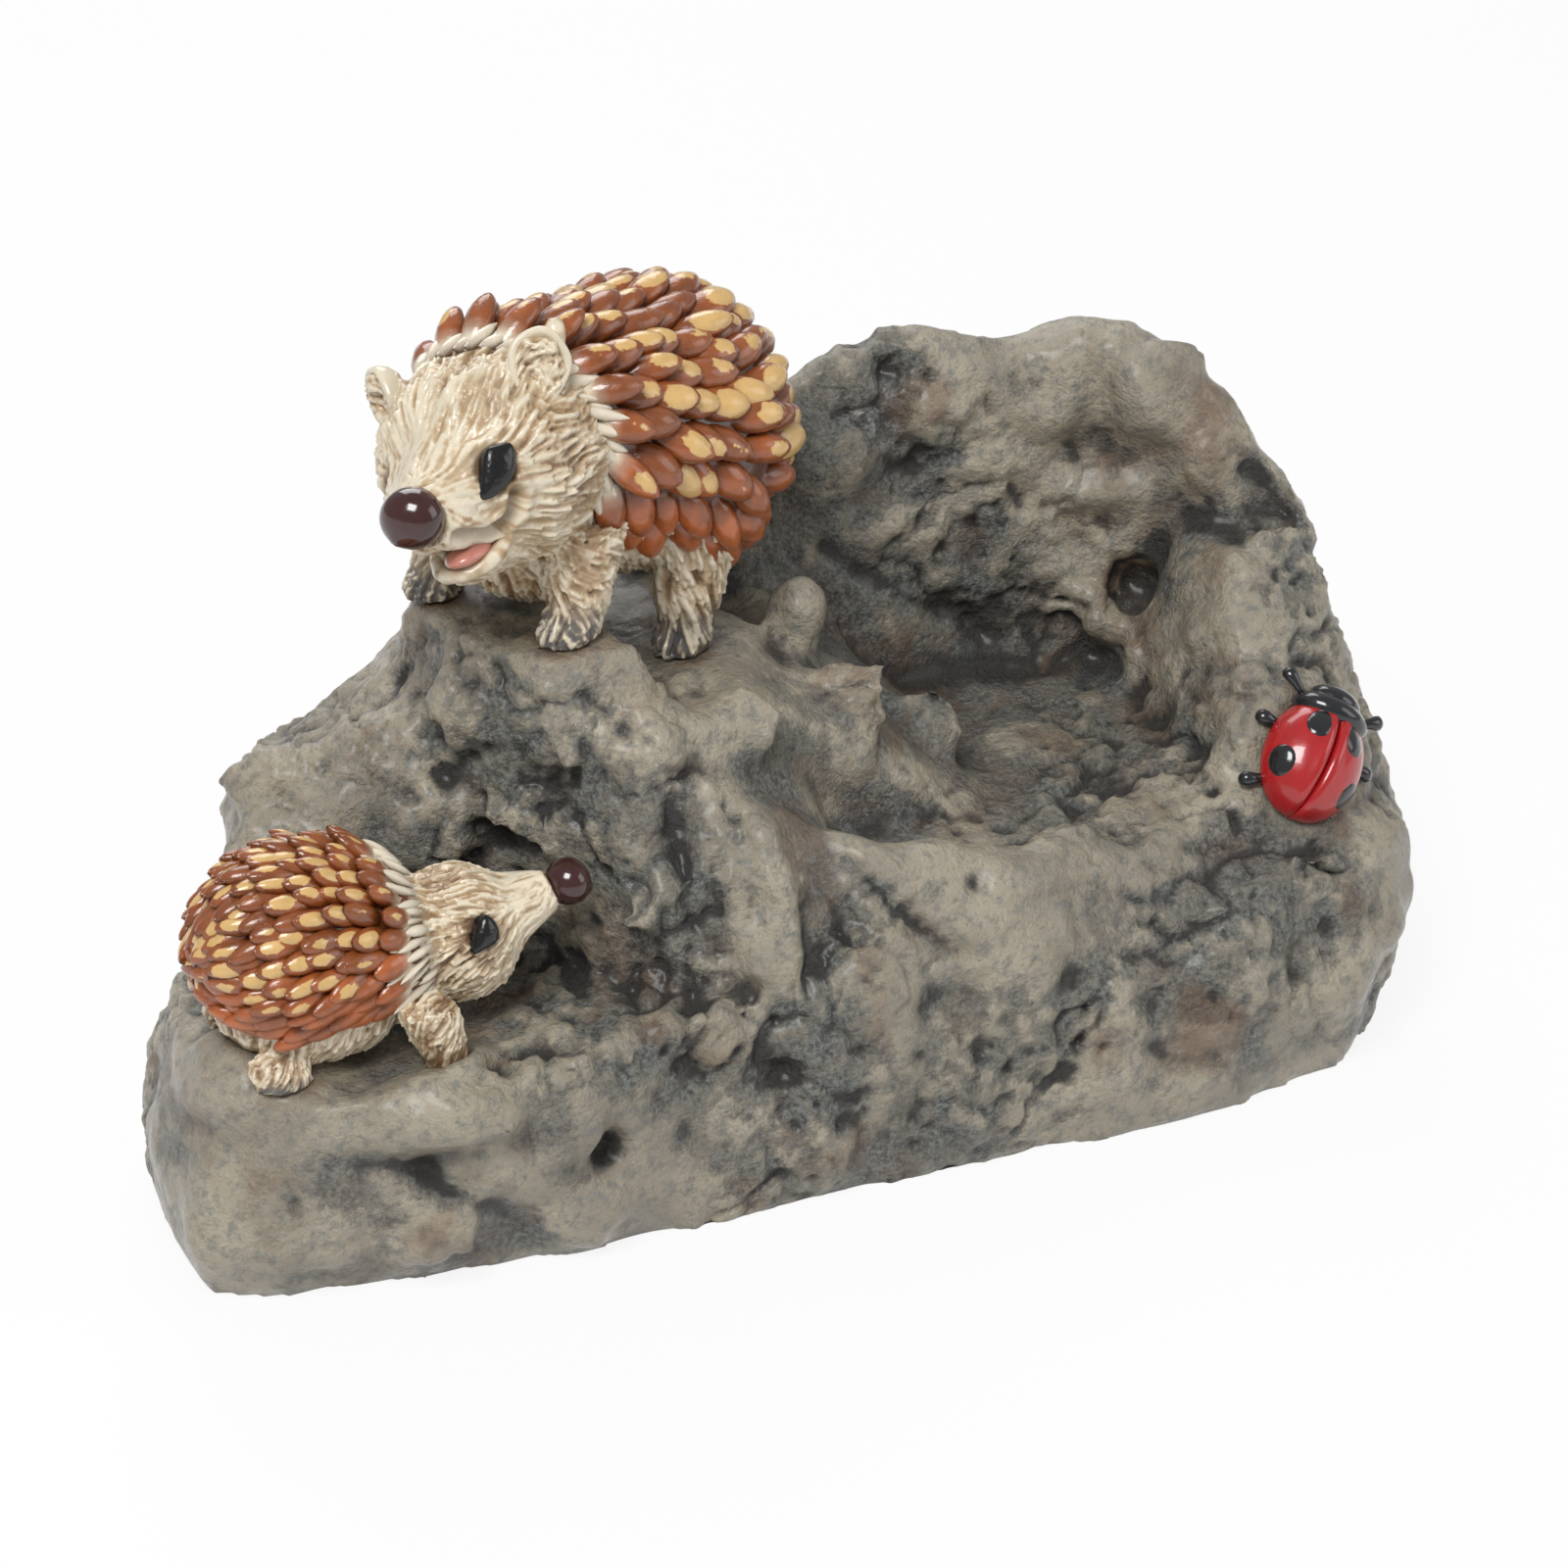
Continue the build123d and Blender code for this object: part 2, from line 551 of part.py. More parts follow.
# Rock: foundation between its outlines at the table, at the swell above it and at the ledge
base_shares = [(-0.71, -0.86), (-0.45, -0.94), (-0.29, -0.96), (0.18, -1.01), (0.53, -1.04), (0.76, -0.96),
               (0.88, -0.76), (0.95, -0.19), (0.96, 0.34), (0.88, 0.80), (0.58, 0.97), (0.15, 0.95),
               (-0.28, 0.97), (-0.60, 0.80), (-0.79, 0.48), (-0.94, 0.06), (-0.99, -0.34), (-1.0, -0.70),
               (-0.89, -0.80)]
swell_shares = [(-0.72, -0.93), (-0.46, -0.95), (-0.29, -0.90), (0.18, -0.99), (0.53, -1.02), (0.80, -0.94),
                (0.93, -0.72), (0.98, -0.20), (1.00, 0.34), (0.90, 0.82), (0.58, 1.00), (0.15, 0.98),
                (-0.28, 1.00), (-0.61, 0.82), (-0.81, 0.48), (-0.95, 0.05), (-1.00, -0.34), (-1.00, -0.70),
                (-0.88, -0.86)]
rim_shares = [(-0.70, -0.92), (-0.46, -0.94), (-0.33, -0.84), (0.16, -0.86), (0.53, -0.84), (0.80, -0.84),
              (0.96, -0.66), (1.00, -0.20), (1.00, 0.34), (0.89, 0.79), (0.58, 0.97), (0.15, 0.95),
              (-0.28, 0.97), (-0.58, 0.79), (-0.75, 0.44), (-0.89, 0.05), (-0.95, -0.34), (-0.94, -0.58),
              (-0.84, -0.84)]
foundation = lump((0, corners(base_shares)), (0.45 * ledge_height, corners(swell_shares)),
                  (ledge_height, corners(rim_shares)))

# Rock: hill under the large hedgehog, brow for its front paws, boulder at its left, saddle at its right
hill_low = [(0.06, -0.60), (-0.08, -0.77), (-0.24, -0.80), (-0.33, -0.62), (-0.40, -0.30), (-0.58, -0.16),
            (-0.78, -0.12), (-0.81, 0.20), (-0.74, 0.50), (-0.50, 0.84), (-0.15, 0.90), (0.08, 0.66),
            (0.12, 0.0)]
hill_mid = [(0.00, -0.44), (-0.10, -0.62), (-0.24, -0.64), (-0.35, -0.46), (-0.44, -0.20), (-0.60, -0.08),
            (-0.73, -0.04), (-0.76, 0.24), (-0.67, 0.50), (-0.46, 0.78), (-0.14, 0.84), (0.04, 0.64),
            (0.08, 0.0)]
hill_high = [(-0.02, -0.16), (-0.12, -0.38), (-0.22, -0.44), (-0.34, -0.38), (-0.42, -0.18), (-0.48, -0.04),
             (-0.50, 0.08), (-0.50, 0.28), (-0.46, 0.44), (-0.35, 0.64), (-0.14, 0.70), (0.00, 0.52),
             (0.04, 0.1)]
hill = lump((0.8 * ledge_height, corners(hill_low)), (0.73 * step_height, corners(hill_mid)),
            (step_height, corners(hill_high)))
brow_low = [(-0.15, -0.42), (-0.18, 0.0), (-0.32, 0.44), (-0.49, 0.36), (-0.49, 0.0), (-0.38, -0.42)]
brow_high = [(-0.24, -0.32), (-0.27, -0.02), (-0.38, 0.34), (-0.48, 0.26), (-0.46, -0.04), (-0.38, -0.32)]
brow = mound((0.95 * step_height, corners(brow_low)), (hill_height, corners(brow_high)))
boulder_low = [(-0.78, 0.10), (-0.77, 0.40), (-0.64, 0.62), (-0.46, 0.60), (-0.44, 0.10), (-0.62, -0.08)]
boulder_high = [(-0.71, 0.14), (-0.71, 0.36), (-0.62, 0.52), (-0.48, 0.50), (-0.46, 0.14), (-0.60, 0.0)]
boulder = mound((0.67 * step_height, corners(boulder_low)), (0.83 * step_height, corners(boulder_high)))
saddle_low = [(-0.10, -0.25), (0.12, -0.34), (0.34, -0.30), (0.42, 0.10), (0.40, 0.60), (-0.10, 0.70)]
saddle_high = [(-0.12, -0.28), (0.00, -0.26), (0.08, 0.00), (0.13, 0.30), (0.13, 0.66), (-0.12, 0.66)]
saddle = mound((0.9 * basin_height, corners(saddle_low)), (0.93 * step_height, corners(saddle_high)))

# Rock: back wall with its uneven skyline, and the lower front wall with its rim
back_wall = rib([
    (-0.18, [(0.42, 0.30), (0.50, 0.50), (0.60, 0.58), (0.72, 0.58), (0.84, 0.46), (0.94, 0.20)]),
    (0.00, [(0.40, 0.30), (0.50, 0.60), (0.58, 0.75), (0.72, 0.77), (0.88, 0.60), (0.95, 0.20)]),
    (0.16, [(0.42, 0.30), (0.50, 0.64), (0.56, 0.87), (0.66, 0.89), (0.86, 0.66), (0.94, 0.20)]),
    (0.30, [(0.46, 0.30), (0.52, 0.64), (0.60, 0.93), (0.70, 0.95), (0.88, 0.68), (0.95, 0.20)]),
    (0.45, [(0.46, 0.30), (0.50, 0.62), (0.56, 0.95), (0.66, 0.97), (0.88, 0.68), (0.97, 0.20)]),
    (0.57, [(0.42, 0.30), (0.46, 0.60), (0.54, 0.90), (0.64, 0.92), (0.86, 0.64), (0.96, 0.20)]),
    (0.68, [(0.38, 0.30), (0.42, 0.60), (0.50, 0.92), (0.62, 0.94), (0.84, 0.64), (0.92, 0.20)]),
    (0.78, [(0.26, 0.30), (0.30, 0.60), (0.38, 0.90), (0.52, 0.93), (0.76, 0.62), (0.86, 0.20)]),
    (0.90, [(0.08, 0.30), (0.14, 0.56), (0.20, 0.78), (0.38, 0.83), (0.62, 0.56), (0.72, 0.20)]),
    (0.98, [(-0.04, 0.30), (0.00, 0.48), (0.04, 0.66), (0.20, 0.69), (0.40, 0.48), (0.50, 0.20)]),
])
front_wall = rib([
    (-0.26, [(-0.84, 0.22), (-0.70, 0.38), (-0.48, 0.55), (-0.34, 0.57), (-0.20, 0.44), (-0.16, 0.22)]),
    (-0.18, [(-0.84, 0.22), (-0.62, 0.38), (-0.46, 0.55), (-0.38, 0.57), (-0.30, 0.44), (-0.26, 0.22)]),
    (-0.11, [(-0.96, 0.20), (-0.84, 0.38), (-0.68, 0.54), (-0.50, 0.57), (-0.38, 0.44), (-0.34, 0.22)]),
    (-0.04, [(-0.92, 0.22), (-0.72, 0.36), (-0.60, 0.49), (-0.52, 0.51), (-0.44, 0.40), (-0.38, 0.22)]),
    (0.04, [(-0.99, 0.18), (-0.90, 0.34), (-0.76, 0.46), (-0.62, 0.48), (-0.52, 0.40), (-0.46, 0.22)]),
    (0.12, [(-0.92, 0.22), (-0.80, 0.34), (-0.74, 0.43), (-0.66, 0.45), (-0.58, 0.39), (-0.52, 0.22)]),
    (0.24, [(-0.98, 0.20), (-0.90, 0.32), (-0.80, 0.42), (-0.66, 0.44), (-0.58, 0.38), (-0.52, 0.22)]),
    (0.38, [(-0.96, 0.22), (-0.84, 0.32), (-0.74, 0.39), (-0.64, 0.41), (-0.54, 0.36), (-0.48, 0.22)]),
    (0.53, [(-0.98, 0.22), (-0.86, 0.30), (-0.70, 0.36), (-0.58, 0.38), (-0.48, 0.35), (-0.42, 0.22)]),
    (0.69, [(-0.96, 0.20), (-0.84, 0.28), (-0.68, 0.33), (-0.56, 0.35), (-0.44, 0.34), (-0.36, 0.20)]),
    (0.88, [(-0.86, 0.18), (-0.80, 0.25), (-0.70, 0.29), (-0.56, 0.32), (-0.46, 0.31), (-0.40, 0.18)]),
])
# Rock: floor of the basin and the right end, where the ladybird sits
floor_shares = [(-0.10, -0.60), (0.70, -0.62), (0.80, -0.30), (0.84, 0.40), (0.60, 0.66), (0.20, 0.66),
                (-0.08, 0.60)]
floor = mound((0.8 * ledge_height, corners(floor_shares)), (basin_height, corners(floor_shares)))
end_low = [(0.58, -0.80), (0.82, -0.86), (0.98, -0.62), (1.0, 0.10), (0.96, 0.56), (0.66, 0.60)]
end_mid = [(0.70, -0.50), (0.84, -0.54), (0.95, -0.40), (1.0, 0.12), (0.94, 0.52), (0.74, 0.56)]
end_high = [(0.80, -0.08), (0.88, -0.10), (0.96, -0.02), (0.98, 0.18), (0.90, 0.50), (0.80, 0.50)]
right_end = mound((0.24 * wall_height, corners(end_low)), (0.43 * wall_height, corners(end_mid)),
                 (0.64 * wall_height, corners(end_high)))

# Rock: small boulders, and the hollows in the back wall
saddle_knob = knob(0.12, 0.13, 0.99 * step_height, 0.055 * half_width, 0.06 * half_width)
ledge_knobs = [knob(-0.87, -0.55, 0.9 * ledge_height, 0.12 * half_width, 0.09 * half_width),
               knob(-0.62, -0.86, 0.88 * ledge_height, 0.11 * half_width, 0.07 * half_width)]
wall_pits = [knob(0.50, 0.42, 0.62 * wall_height, 0.055 * half_width, 0.07 * half_width),
             knob(0.74, 0.34, 0.52 * wall_height, 0.05 * half_width, 0.05 * half_width)]

# Rock: bosses of the back wall, its right end, the rim, the front, the hill and the ledge
wall_bosses = bosses(wall_heading, wall_lean, wall_height, [
    (0.26, 0.53, 0.78, 0.10, 0.07), (0.36, 0.53, 0.66, 0.09, 0.06), (0.43, 0.54, 0.84, 0.09, 0.07),
    (0.54, 0.50, 0.72, 0.07, 0.09), (0.64, 0.48, 0.83, 0.10, 0.07), (0.70, 0.43, 0.69, 0.11, 0.05),
    (0.79, 0.35, 0.84, 0.08, 0.10), (0.86, 0.21, 0.71, 0.07, 0.09)])
end_bosses = bosses(end_heading, end_lean, wall_height, [
    (0.70, 0.38, 0.51, 0.06, 0.09), (0.74, 0.14, 0.43, 0.06, 0.09), (0.87, -0.04, 0.62, 0.09, 0.06),
    (0.77, -0.10, 0.52, 0.06, 0.07)])
rim_bosses = bosses(rim_heading, rim_lean, wall_height, [
    (0.13, -0.71, 0.43, 0.09, 0.06), (0.34, -0.68, 0.40, 0.10, 0.05), (0.54, -0.63, 0.365, 0.08, 0.05)])
front_bosses = bosses(front_heading, front_lean, wall_height, [
    (-0.15, -0.68, 0.42, 0.045, 0.13), (-0.25, -0.64, 0.46, 0.12, 0.04), (0.00, -0.88, 0.31, 0.10, 0.09),
    (0.20, -0.88, 0.32, 0.08, 0.12), (0.36, -0.97, 0.17, 0.13, 0.08), (0.56, -0.94, 0.23, 0.12, 0.08),
    (-0.07, -0.94, 0.14, 0.09, 0.12), (0.74, -0.84, 0.28, 0.09, 0.08), (0.15, -0.97, 0.10, 0.11, 0.06)])
hill_bosses = bosses(hill_heading, hill_lean, step_height, [
    (-0.69, 0.15, 0.82, 0.11, 0.07), (-0.57, 0.06, 0.91, 0.09, 0.06), (-0.75, 0.06, 0.70, 0.08, 0.06),
    (-0.46, -0.12, 1.06, 0.09, 0.06), (-0.40, -0.29, 0.87, 0.11, 0.09), (-0.28, -0.43, 0.97, 0.09, 0.08),
    (-0.53, -0.14, 0.76, 0.08, 0.07), (-0.29, -0.53, 0.80, 0.07, 0.09), (-0.11, -0.36, 0.94, 0.11, 0.07),
    (0.11, -0.14, 0.84, 0.11, 0.08), (0.27, -0.04, 0.66, 0.12, 0.08)])
ledge_bosses = bosses(ledge_heading, ledge_lean, ledge_height, [
    (-0.87, -0.68, 0.88, 0.08, 0.06), (-0.71, -0.91, 0.88, 0.10, 0.06), (-0.85, -0.82, 0.45, 0.09, 0.09),
    (-0.68, -0.93, 0.42, 0.11, 0.08), (-0.51, -0.93, 0.70, 0.09, 0.08), (-0.49, -0.93, 0.27, 0.09, 0.07)])

# Rock: perch under the ladybird
with BuildPart() as perch:
    with BuildSketch(ladybird_frame):
        with BuildLine():
            Polyline(*oval(0.62 * ladybird_length, 0.72 * ladybird_width, small_sides), close=True)
        make_face()
    extrude(amount=-0.7 * ladybird_length, taper=perch_spread)

# Rock: room for the large quill coat, so that the rock stands clear of it
coat_room_reach = math.hypot(large_coat_radius + large_quill_length * math.sin(math.radians(quill_lift)),
                             large_quill_length * math.cos(math.radians(quill_lift))) + coat_clearance
with BuildPart() as coat_room:
    add(turned(large_torso_frame, coat_room_reach, coat_room_reach, coat_room_reach, ball_shares, body_sides))
    split(bisect_by=large_belly_plane, keep=Keep.TOP)

# Rock: everything joined, with the beds of the animals and of the ladybird cut out
with BuildPart() as rock_base:
    add(foundation)
    add([hill, brow, boulder, saddle, back_wall, front_wall, floor, right_end, saddle_knob] + ledge_knobs)
    add(wall_bosses + end_bosses + rim_bosses + front_bosses + hill_bosses + ledge_bosses)
    add(perch.part)
    add(wall_pits, mode=Mode.SUBTRACT)
    add([large_hedgehog_body.part, small_hedgehog_body.part, ladybird_underbody.part, ladybird_head.part,
         ladybird_legs.part, whole_dome.part, ladybird_spots.part, coat_room.part], mode=Mode.SUBTRACT)

# One file for each piece
pieces = {
    "rock_base": rock_base,
    "large_hedgehog_body": large_hedgehog_body,
    "large_hedgehog_quill_coat": large_hedgehog_quill_coat,
    "large_hedgehog_nose": large_hedgehog_nose,
    "large_hedgehog_left_eye": large_hedgehog_left_eye,
    "large_hedgehog_right_eye": large_hedgehog_right_eye,
    "large_hedgehog_tongue": large_hedgehog_tongue,
    "small_hedgehog_body": small_hedgehog_body,
    "small_hedgehog_quill_coat": small_hedgehog_quill_coat,
    "small_hedgehog_nose": small_hedgehog_nose,
    "small_hedgehog_left_eye": small_hedgehog_left_eye,
    "small_hedgehog_right_eye": small_hedgehog_right_eye,
    "ladybird_left_wing_case": ladybird_left_wing_case,
    "ladybird_right_wing_case": ladybird_right_wing_case,
    "ladybird_head": ladybird_head,
    "ladybird_underbody": ladybird_underbody,
    "ladybird_legs": ladybird_legs,
    "ladybird_spots": ladybird_spots,
}
for label, piece in pieces.items():
    piece.part.label = label
    export_step(piece.part, f"parts/{label}.step")
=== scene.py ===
import math

import bpy
import numpy as np
from bpy.props import FloatProperty, FloatVectorProperty, IntProperty, PointerProperty
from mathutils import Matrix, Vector
from mathutils.bvhtree import BVHTree
from mathutils.kdtree import KDTree


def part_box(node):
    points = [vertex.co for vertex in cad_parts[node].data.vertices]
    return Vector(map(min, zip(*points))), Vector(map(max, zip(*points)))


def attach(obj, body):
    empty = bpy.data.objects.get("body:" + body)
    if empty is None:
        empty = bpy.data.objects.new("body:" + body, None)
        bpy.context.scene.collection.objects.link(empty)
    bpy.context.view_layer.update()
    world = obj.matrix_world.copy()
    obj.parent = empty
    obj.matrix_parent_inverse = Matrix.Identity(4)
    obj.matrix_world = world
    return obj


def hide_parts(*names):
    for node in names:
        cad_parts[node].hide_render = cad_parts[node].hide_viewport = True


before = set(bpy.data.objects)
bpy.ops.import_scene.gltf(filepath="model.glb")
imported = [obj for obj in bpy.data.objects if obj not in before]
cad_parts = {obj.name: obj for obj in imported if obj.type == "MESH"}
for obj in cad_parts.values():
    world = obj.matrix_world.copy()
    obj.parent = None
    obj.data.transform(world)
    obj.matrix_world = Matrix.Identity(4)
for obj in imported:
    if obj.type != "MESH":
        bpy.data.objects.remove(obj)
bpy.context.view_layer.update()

bl_info = {
    "name": "Hedgehog Rock Ornament",
    "version": (1, 0, 0),
    "blender": (4, 5, 0),
    "location": "View3D > Sidebar > Ornament",
    "description": "Finishes a cast rock ornament with two painted hedgehogs and a ladybird",
    "category": "Object",
}

MM = 0.001


# Sizes and colours that a user would change

def colour_setting(name, description, *parts):
    """opaque colour from its red, green and blue parts"""
    return FloatVectorProperty(name=name, description=description, default=(*parts, 1.0), size=4,
                               min=0.0, max=1.0, subtype="COLOR")


def length_setting(name, description, default, low, high):
    return FloatProperty(name=name, description=description, default=default, min=low, max=high,
                         subtype="DISTANCE", unit="LENGTH")


def angle_setting(name, description, degrees):
    return FloatProperty(name=name, description=description, default=math.radians(degrees),
                         subtype="ANGLE", unit="ROTATION")


class RockSettings(bpy.types.PropertyGroup):
    """Carving and paint of the rock"""
    lump_depth: length_setting("Lump depth", "How far the broad lumps stand out", 0.0013, 0.0, 0.004)
    crease_depth: length_setting("Crease depth", "How deep the creases are cut", 0.0013, 0.0, 0.004)
    grain_depth: length_setting("Grain depth", "How rough the weathered hollows are", 0.0005, 0.0, 0.002)
    beige: colour_setting("Beige", "Smooth raised stone", 0.375, 0.33, 0.25)
    grey: colour_setting("Grey", "Sprayed grey of the hollows", 0.150, 0.158, 0.148)
    # dark wash in cracks and pits, which also paints the shade of cracks, pits, dents and hollows
    wash_and_shade_colour: colour_setting("Dark_wash_and_shade", "Dark wash in cracks and pits", 0.030, 0.028, 0.025)
    # umber paints brown stains, and also painted shade in broad hollows and painted shadow where the
    # hedgehogs and ladybird touch the rock
    umber: colour_setting("Umber", "Brown stain beside the cracks", 0.15, 0.085, 0.045)


class FurSettings(bpy.types.PropertyGroup):
    """Carving and paint of the fur"""
    tuft_depth: length_setting("Tuft depth", "How far the tufts stand out", 0.0010, 0.0, 0.002)
    stroke_depth: length_setting("Stroke depth", "How deep the fine strokes are cut", 0.00034, 0.0, 0.001)
    stroke_width: length_setting("Stroke width", "Width of one fur stroke", 0.00044, 0.0003, 0.002)
    cream: colour_setting("Cream", "Raised fur", 0.76, 0.67, 0.51)
    tan: colour_setting("Tan", "Thin wash between the strokes", 0.47, 0.33, 0.185)
    # the wash is brown paint in the grooves, and also painted shade where the fur meets the rock, nose, eyes
    # and tongue
    wash: colour_setting("Wash", "Brown wash in the grooves", 0.16, 0.080, 0.034)
    paw_grey: colour_setting("Paw grey", "Dark wash on the paws", 0.085, 0.085, 0.082)


class QuillSettings(bpy.types.PropertyGroup):
    """Number, size and paint of the quills"""
    large_rows: IntProperty(name="Large rows", description="Rings of quills on the large hedgehog",
                            default=12, min=6, max=18)
    small_rows: IntProperty(name="Small rows", description="Rings of quills on the small hedgehog",
                            default=11, min=6, max=18)
    large_length: length_setting("Large quill", "Length of the large one's quills", 0.0084, 0.004, 0.014)
    small_length: length_setting("Small quill", "Length of the small one's quills", 0.0068, 0.003, 0.010)
    chestnut: colour_setting("Chestnut", "Body of the quills", 0.29, 0.082, 0.022)
    russet: colour_setting("Russet", "Lighter red brown of the low quills", 0.47, 0.118, 0.026)
    ochre: colour_setting("Ochre", "Painted tips", 0.66, 0.42, 0.16)
    cream: colour_setting("Cream", "Tufts where fur and quills meet", 0.74, 0.66, 0.52)


class GlossSettings(bpy.types.PropertyGroup):
    """Paint of the small glossy pieces"""
    nose: colour_setting("Nose", "Dark brown of the noses", 0.046, 0.012, 0.011)
    eye: colour_setting("Eye", "Black of the eyes", 0.007, 0.007, 0.008)
    tongue: colour_setting("Tongue", "Pink of the tongue", 0.56, 0.22, 0.17)
    wing_red: colour_setting("Wing red", "Red of the wing cases", 0.42, 0.012, 0.014)
    beetle_black: colour_setting("Beetle black", "Black of the ladybird", 0.014, 0.015, 0.018)


class StageSettings(bpy.types.PropertyGroup):
    """Camera and light"""
    azimuth: angle_setting("Azimuth", "Camera's turn round the ornament", -25)
    elevation: angle_setting("Elevation", "Camera's height above the horizon", 28)
    distance: FloatProperty(name="Distance", description="Camera's distance from its target", default=0.72,
                            min=0.2, subtype="DISTANCE", unit="LENGTH")
    lens: FloatProperty(name="Lens", description="Focal length in millimetres", default=120.0, min=20.0,
                        subtype="DISTANCE_CAMERA")


# Places on the rock, in the CAD frame

def unit(vector):
    return vector / np.linalg.norm(vector)


def axes(heading, pitch=0.0, roll=0.0):
    """forward, left and up directions for a heading, a nose-up pitch and a roll, in degrees"""
    turn, rise, lean = math.radians(heading), math.radians(pitch), math.radians(roll)
    forward = np.array((math.cos(turn) * math.cos(rise), math.sin(turn) * math.cos(rise), math.sin(rise)))
    level_left = np.array((-math.sin(turn), math.cos(turn), 0.0))
    level_up = np.cross(forward, level_left)
    left = level_left * math.cos(lean) + level_up * math.sin(lean)
    up = level_up * math.cos(lean) - level_left * math.sin(lean)
    return np.array((forward, left, up))


class Place:
    """A point with its forward, left and up directions"""

    def __init__(self, origin, directions):
        self.origin = np.array(origin, float)
        self.directions = directions

    def world(self, points):
        return self.origin + np.asarray(points, float) @ self.directions

    def local(self, points):
        return (np.asarray(points, float) - self.origin) @ self.directions.T

    def moved(self, ahead, left, up):
        return Place(self.world((ahead, left, up)), self.directions)

    def facing(self, outward):
        """same point, turned so that forward is a local direction and up stays near"""
        forward = unit(np.asarray(outward, float) @ self.directions)
        left = unit(np.cross(self.directions[2], forward))
        return Place(self.origin, np.array((forward, left, np.cross(forward, left))))


LARGE_SEAT = Place((-0.03534, 0.00047, 0.072), axes(208))
LARGE_TORSO = LARGE_SEAT.moved(-0.02876, 0, 0.0162)
LARGE_HEAD = Place(LARGE_SEAT.world((0.0031, 0.0020, 0.025)), axes(222, 0, 21))
LARGE_HEAD_REACH = 0.0155
SMALL_SEAT = Place((-0.06138, -0.02491, 0.029), axes(0))
SMALL_TORSO = SMALL_SEAT.moved(-0.01339, 0, 0.0152)
SMALL_HEAD = Place(SMALL_SEAT.world((0.00818, 0, 0.0122)), axes(-5, 16))
SMALL_HEAD_REACH = 0.0093
LADYBIRD = Place((0.07514, -0.02538, 0.03931), axes(35, 40, 45))


# Noise and mesh helpers

NOISE_SIDE = 32
PIT_SIDE = 16


def soft_noise(points, cell, seed):
    """smooth random field from 0 to 1 whose bumps are about one cell wide"""
    table = np.random.default_rng(seed).random((NOISE_SIDE,) * 3)
    tilt = axes(31 + 17 * seed, 23 + 11 * seed, 40)
    place = points @ tilt / cell + 16 * NOISE_SIDE
    whole = np.floor(place).astype(np.int64)
    part = place - whole
    part = part * part * (3 - 2 * part)
    value = np.zeros(len(points))
    for corner in range(8):
        step = np.array((corner & 1, corner >> 1 & 1, corner >> 2 & 1))
        weight = np.prod(np.where(step, part, 1 - part), axis=1)
        value += weight * table[tuple(((whole + step) % NOISE_SIDE).T)]
    return value


def layered_noise(points, cell, seed, layers):
    """several sizes of noise added up, still from 0 to 1"""
    value, weight, total = 0.0, 1.0, 0.0
    for layer in range(layers):
        value = value + weight * soft_noise(points, cell / 2 ** layer, seed + layer)
        total += weight
        weight *= 0.5
    return value / total


def centred_noise(points, cell, seed, layers):
    """layered noise from -0.5 to 0.5"""
    return layered_noise(points, cell, seed, layers) - 0.5


def noise_vectors(points, cell, seed, layers):
    """three centred noises side by side"""
    return np.stack([centred_noise(points, cell, seed + turn, layers) for turn in range(3)], axis=1)


def pit_field(points, cell, seed, fill):
    """1 in the middle of scattered round pits, 0 between them"""
    picker = np.random.default_rng(seed)
    shift, size = picker.random((PIT_SIDE,) * 3 + (3,)), picker.random((PIT_SIDE,) * 3)
    place = points / cell + 16 * PIT_SIDE
    whole = np.floor(place).astype(np.int64)
    best = np.zeros(len(points))
    for step in np.ndindex(3, 3, 3):
        near = whole + np.array(step) - 1
        index = tuple((near % PIT_SIDE).T)
        reach = 0.55 * np.clip(size[index] - (1 - fill), 0, 1) / fill + 1e-6
        gap = np.linalg.norm(place - (near + shift[index]), axis=1)
        best = np.maximum(best, np.clip(1 - gap / reach, 0, 1))
    return best


def stroke_field(points, flow, width, length, seed):
    """noise drawn out along the flow, 0 in the grooves and 1 on the strokes"""
    total = np.zeros(len(points))
    steps = 9
    for step in range(steps):
        total += soft_noise(points + flow * (length * (step / (steps - 1) - 0.5)), width, seed)
    total = (total - total.mean()) / (total.std() + 1e-9)
    return np.clip(0.5 + 0.3 * total, 0, 1)


def smooth_step(value, low, high):
    part = np.clip((value - low) / (high - low), 0, 1)
    return part * part * (3 - 2 * part)


def coordinates(mesh):
    values = np.empty(len(mesh.vertices) * 3)
    mesh.vertices.foreach_get("co", values)
    return values.reshape(-1, 3)


def normals(mesh):
    values = np.empty(len(mesh.vertices) * 3, np.float32)
    mesh.vertex_normals.foreach_get("vector", values)
    return values.reshape(-1, 3).astype(float)


def neighbours(mesh):
    """each point's neighbours in one list, with where each point's run starts"""
    ends = np.empty(len(mesh.edges) * 2, np.int32)
    mesh.edges.foreach_get("vertices", ends)
    ends = ends.reshape(-1, 2)
    both = np.concatenate((ends, ends[:, ::-1]))
    both = both[np.argsort(both[:, 0], kind="stable")]
    starts = np.searchsorted(both[:, 0], np.arange(len(mesh.vertices)))
    return both[:, 1], starts, np.bincount(both[:, 0], minlength=len(mesh.vertices))


def evened(values, links, rounds):
    """values averaged over their neighbours again and again"""
    others, starts, counts = links
    counts = counts.reshape(-1, *([1] * (values.ndim - 1)))
    for _ in range(rounds):
        values = 0.3 * values + 0.7 * np.add.reduceat(values[others], starts, axis=0) / counts
    return values


def set_coordinates(mesh, points):
    mesh.vertices.foreach_set("co", np.ascontiguousarray(points, np.float32).ravel())
    mesh.update()


def push_out(mesh, amounts):
    """moves each point along its normal"""
    set_coordinates(mesh, coordinates(mesh) + normals(mesh) * amounts[:, None])


def set_attribute(mesh, name, values):
    layer = mesh.attributes.get(name) or mesh.attributes.new(name, "FLOAT", "POINT")
    layer.data.foreach_set("value", np.ascontiguousarray(values, np.float32))


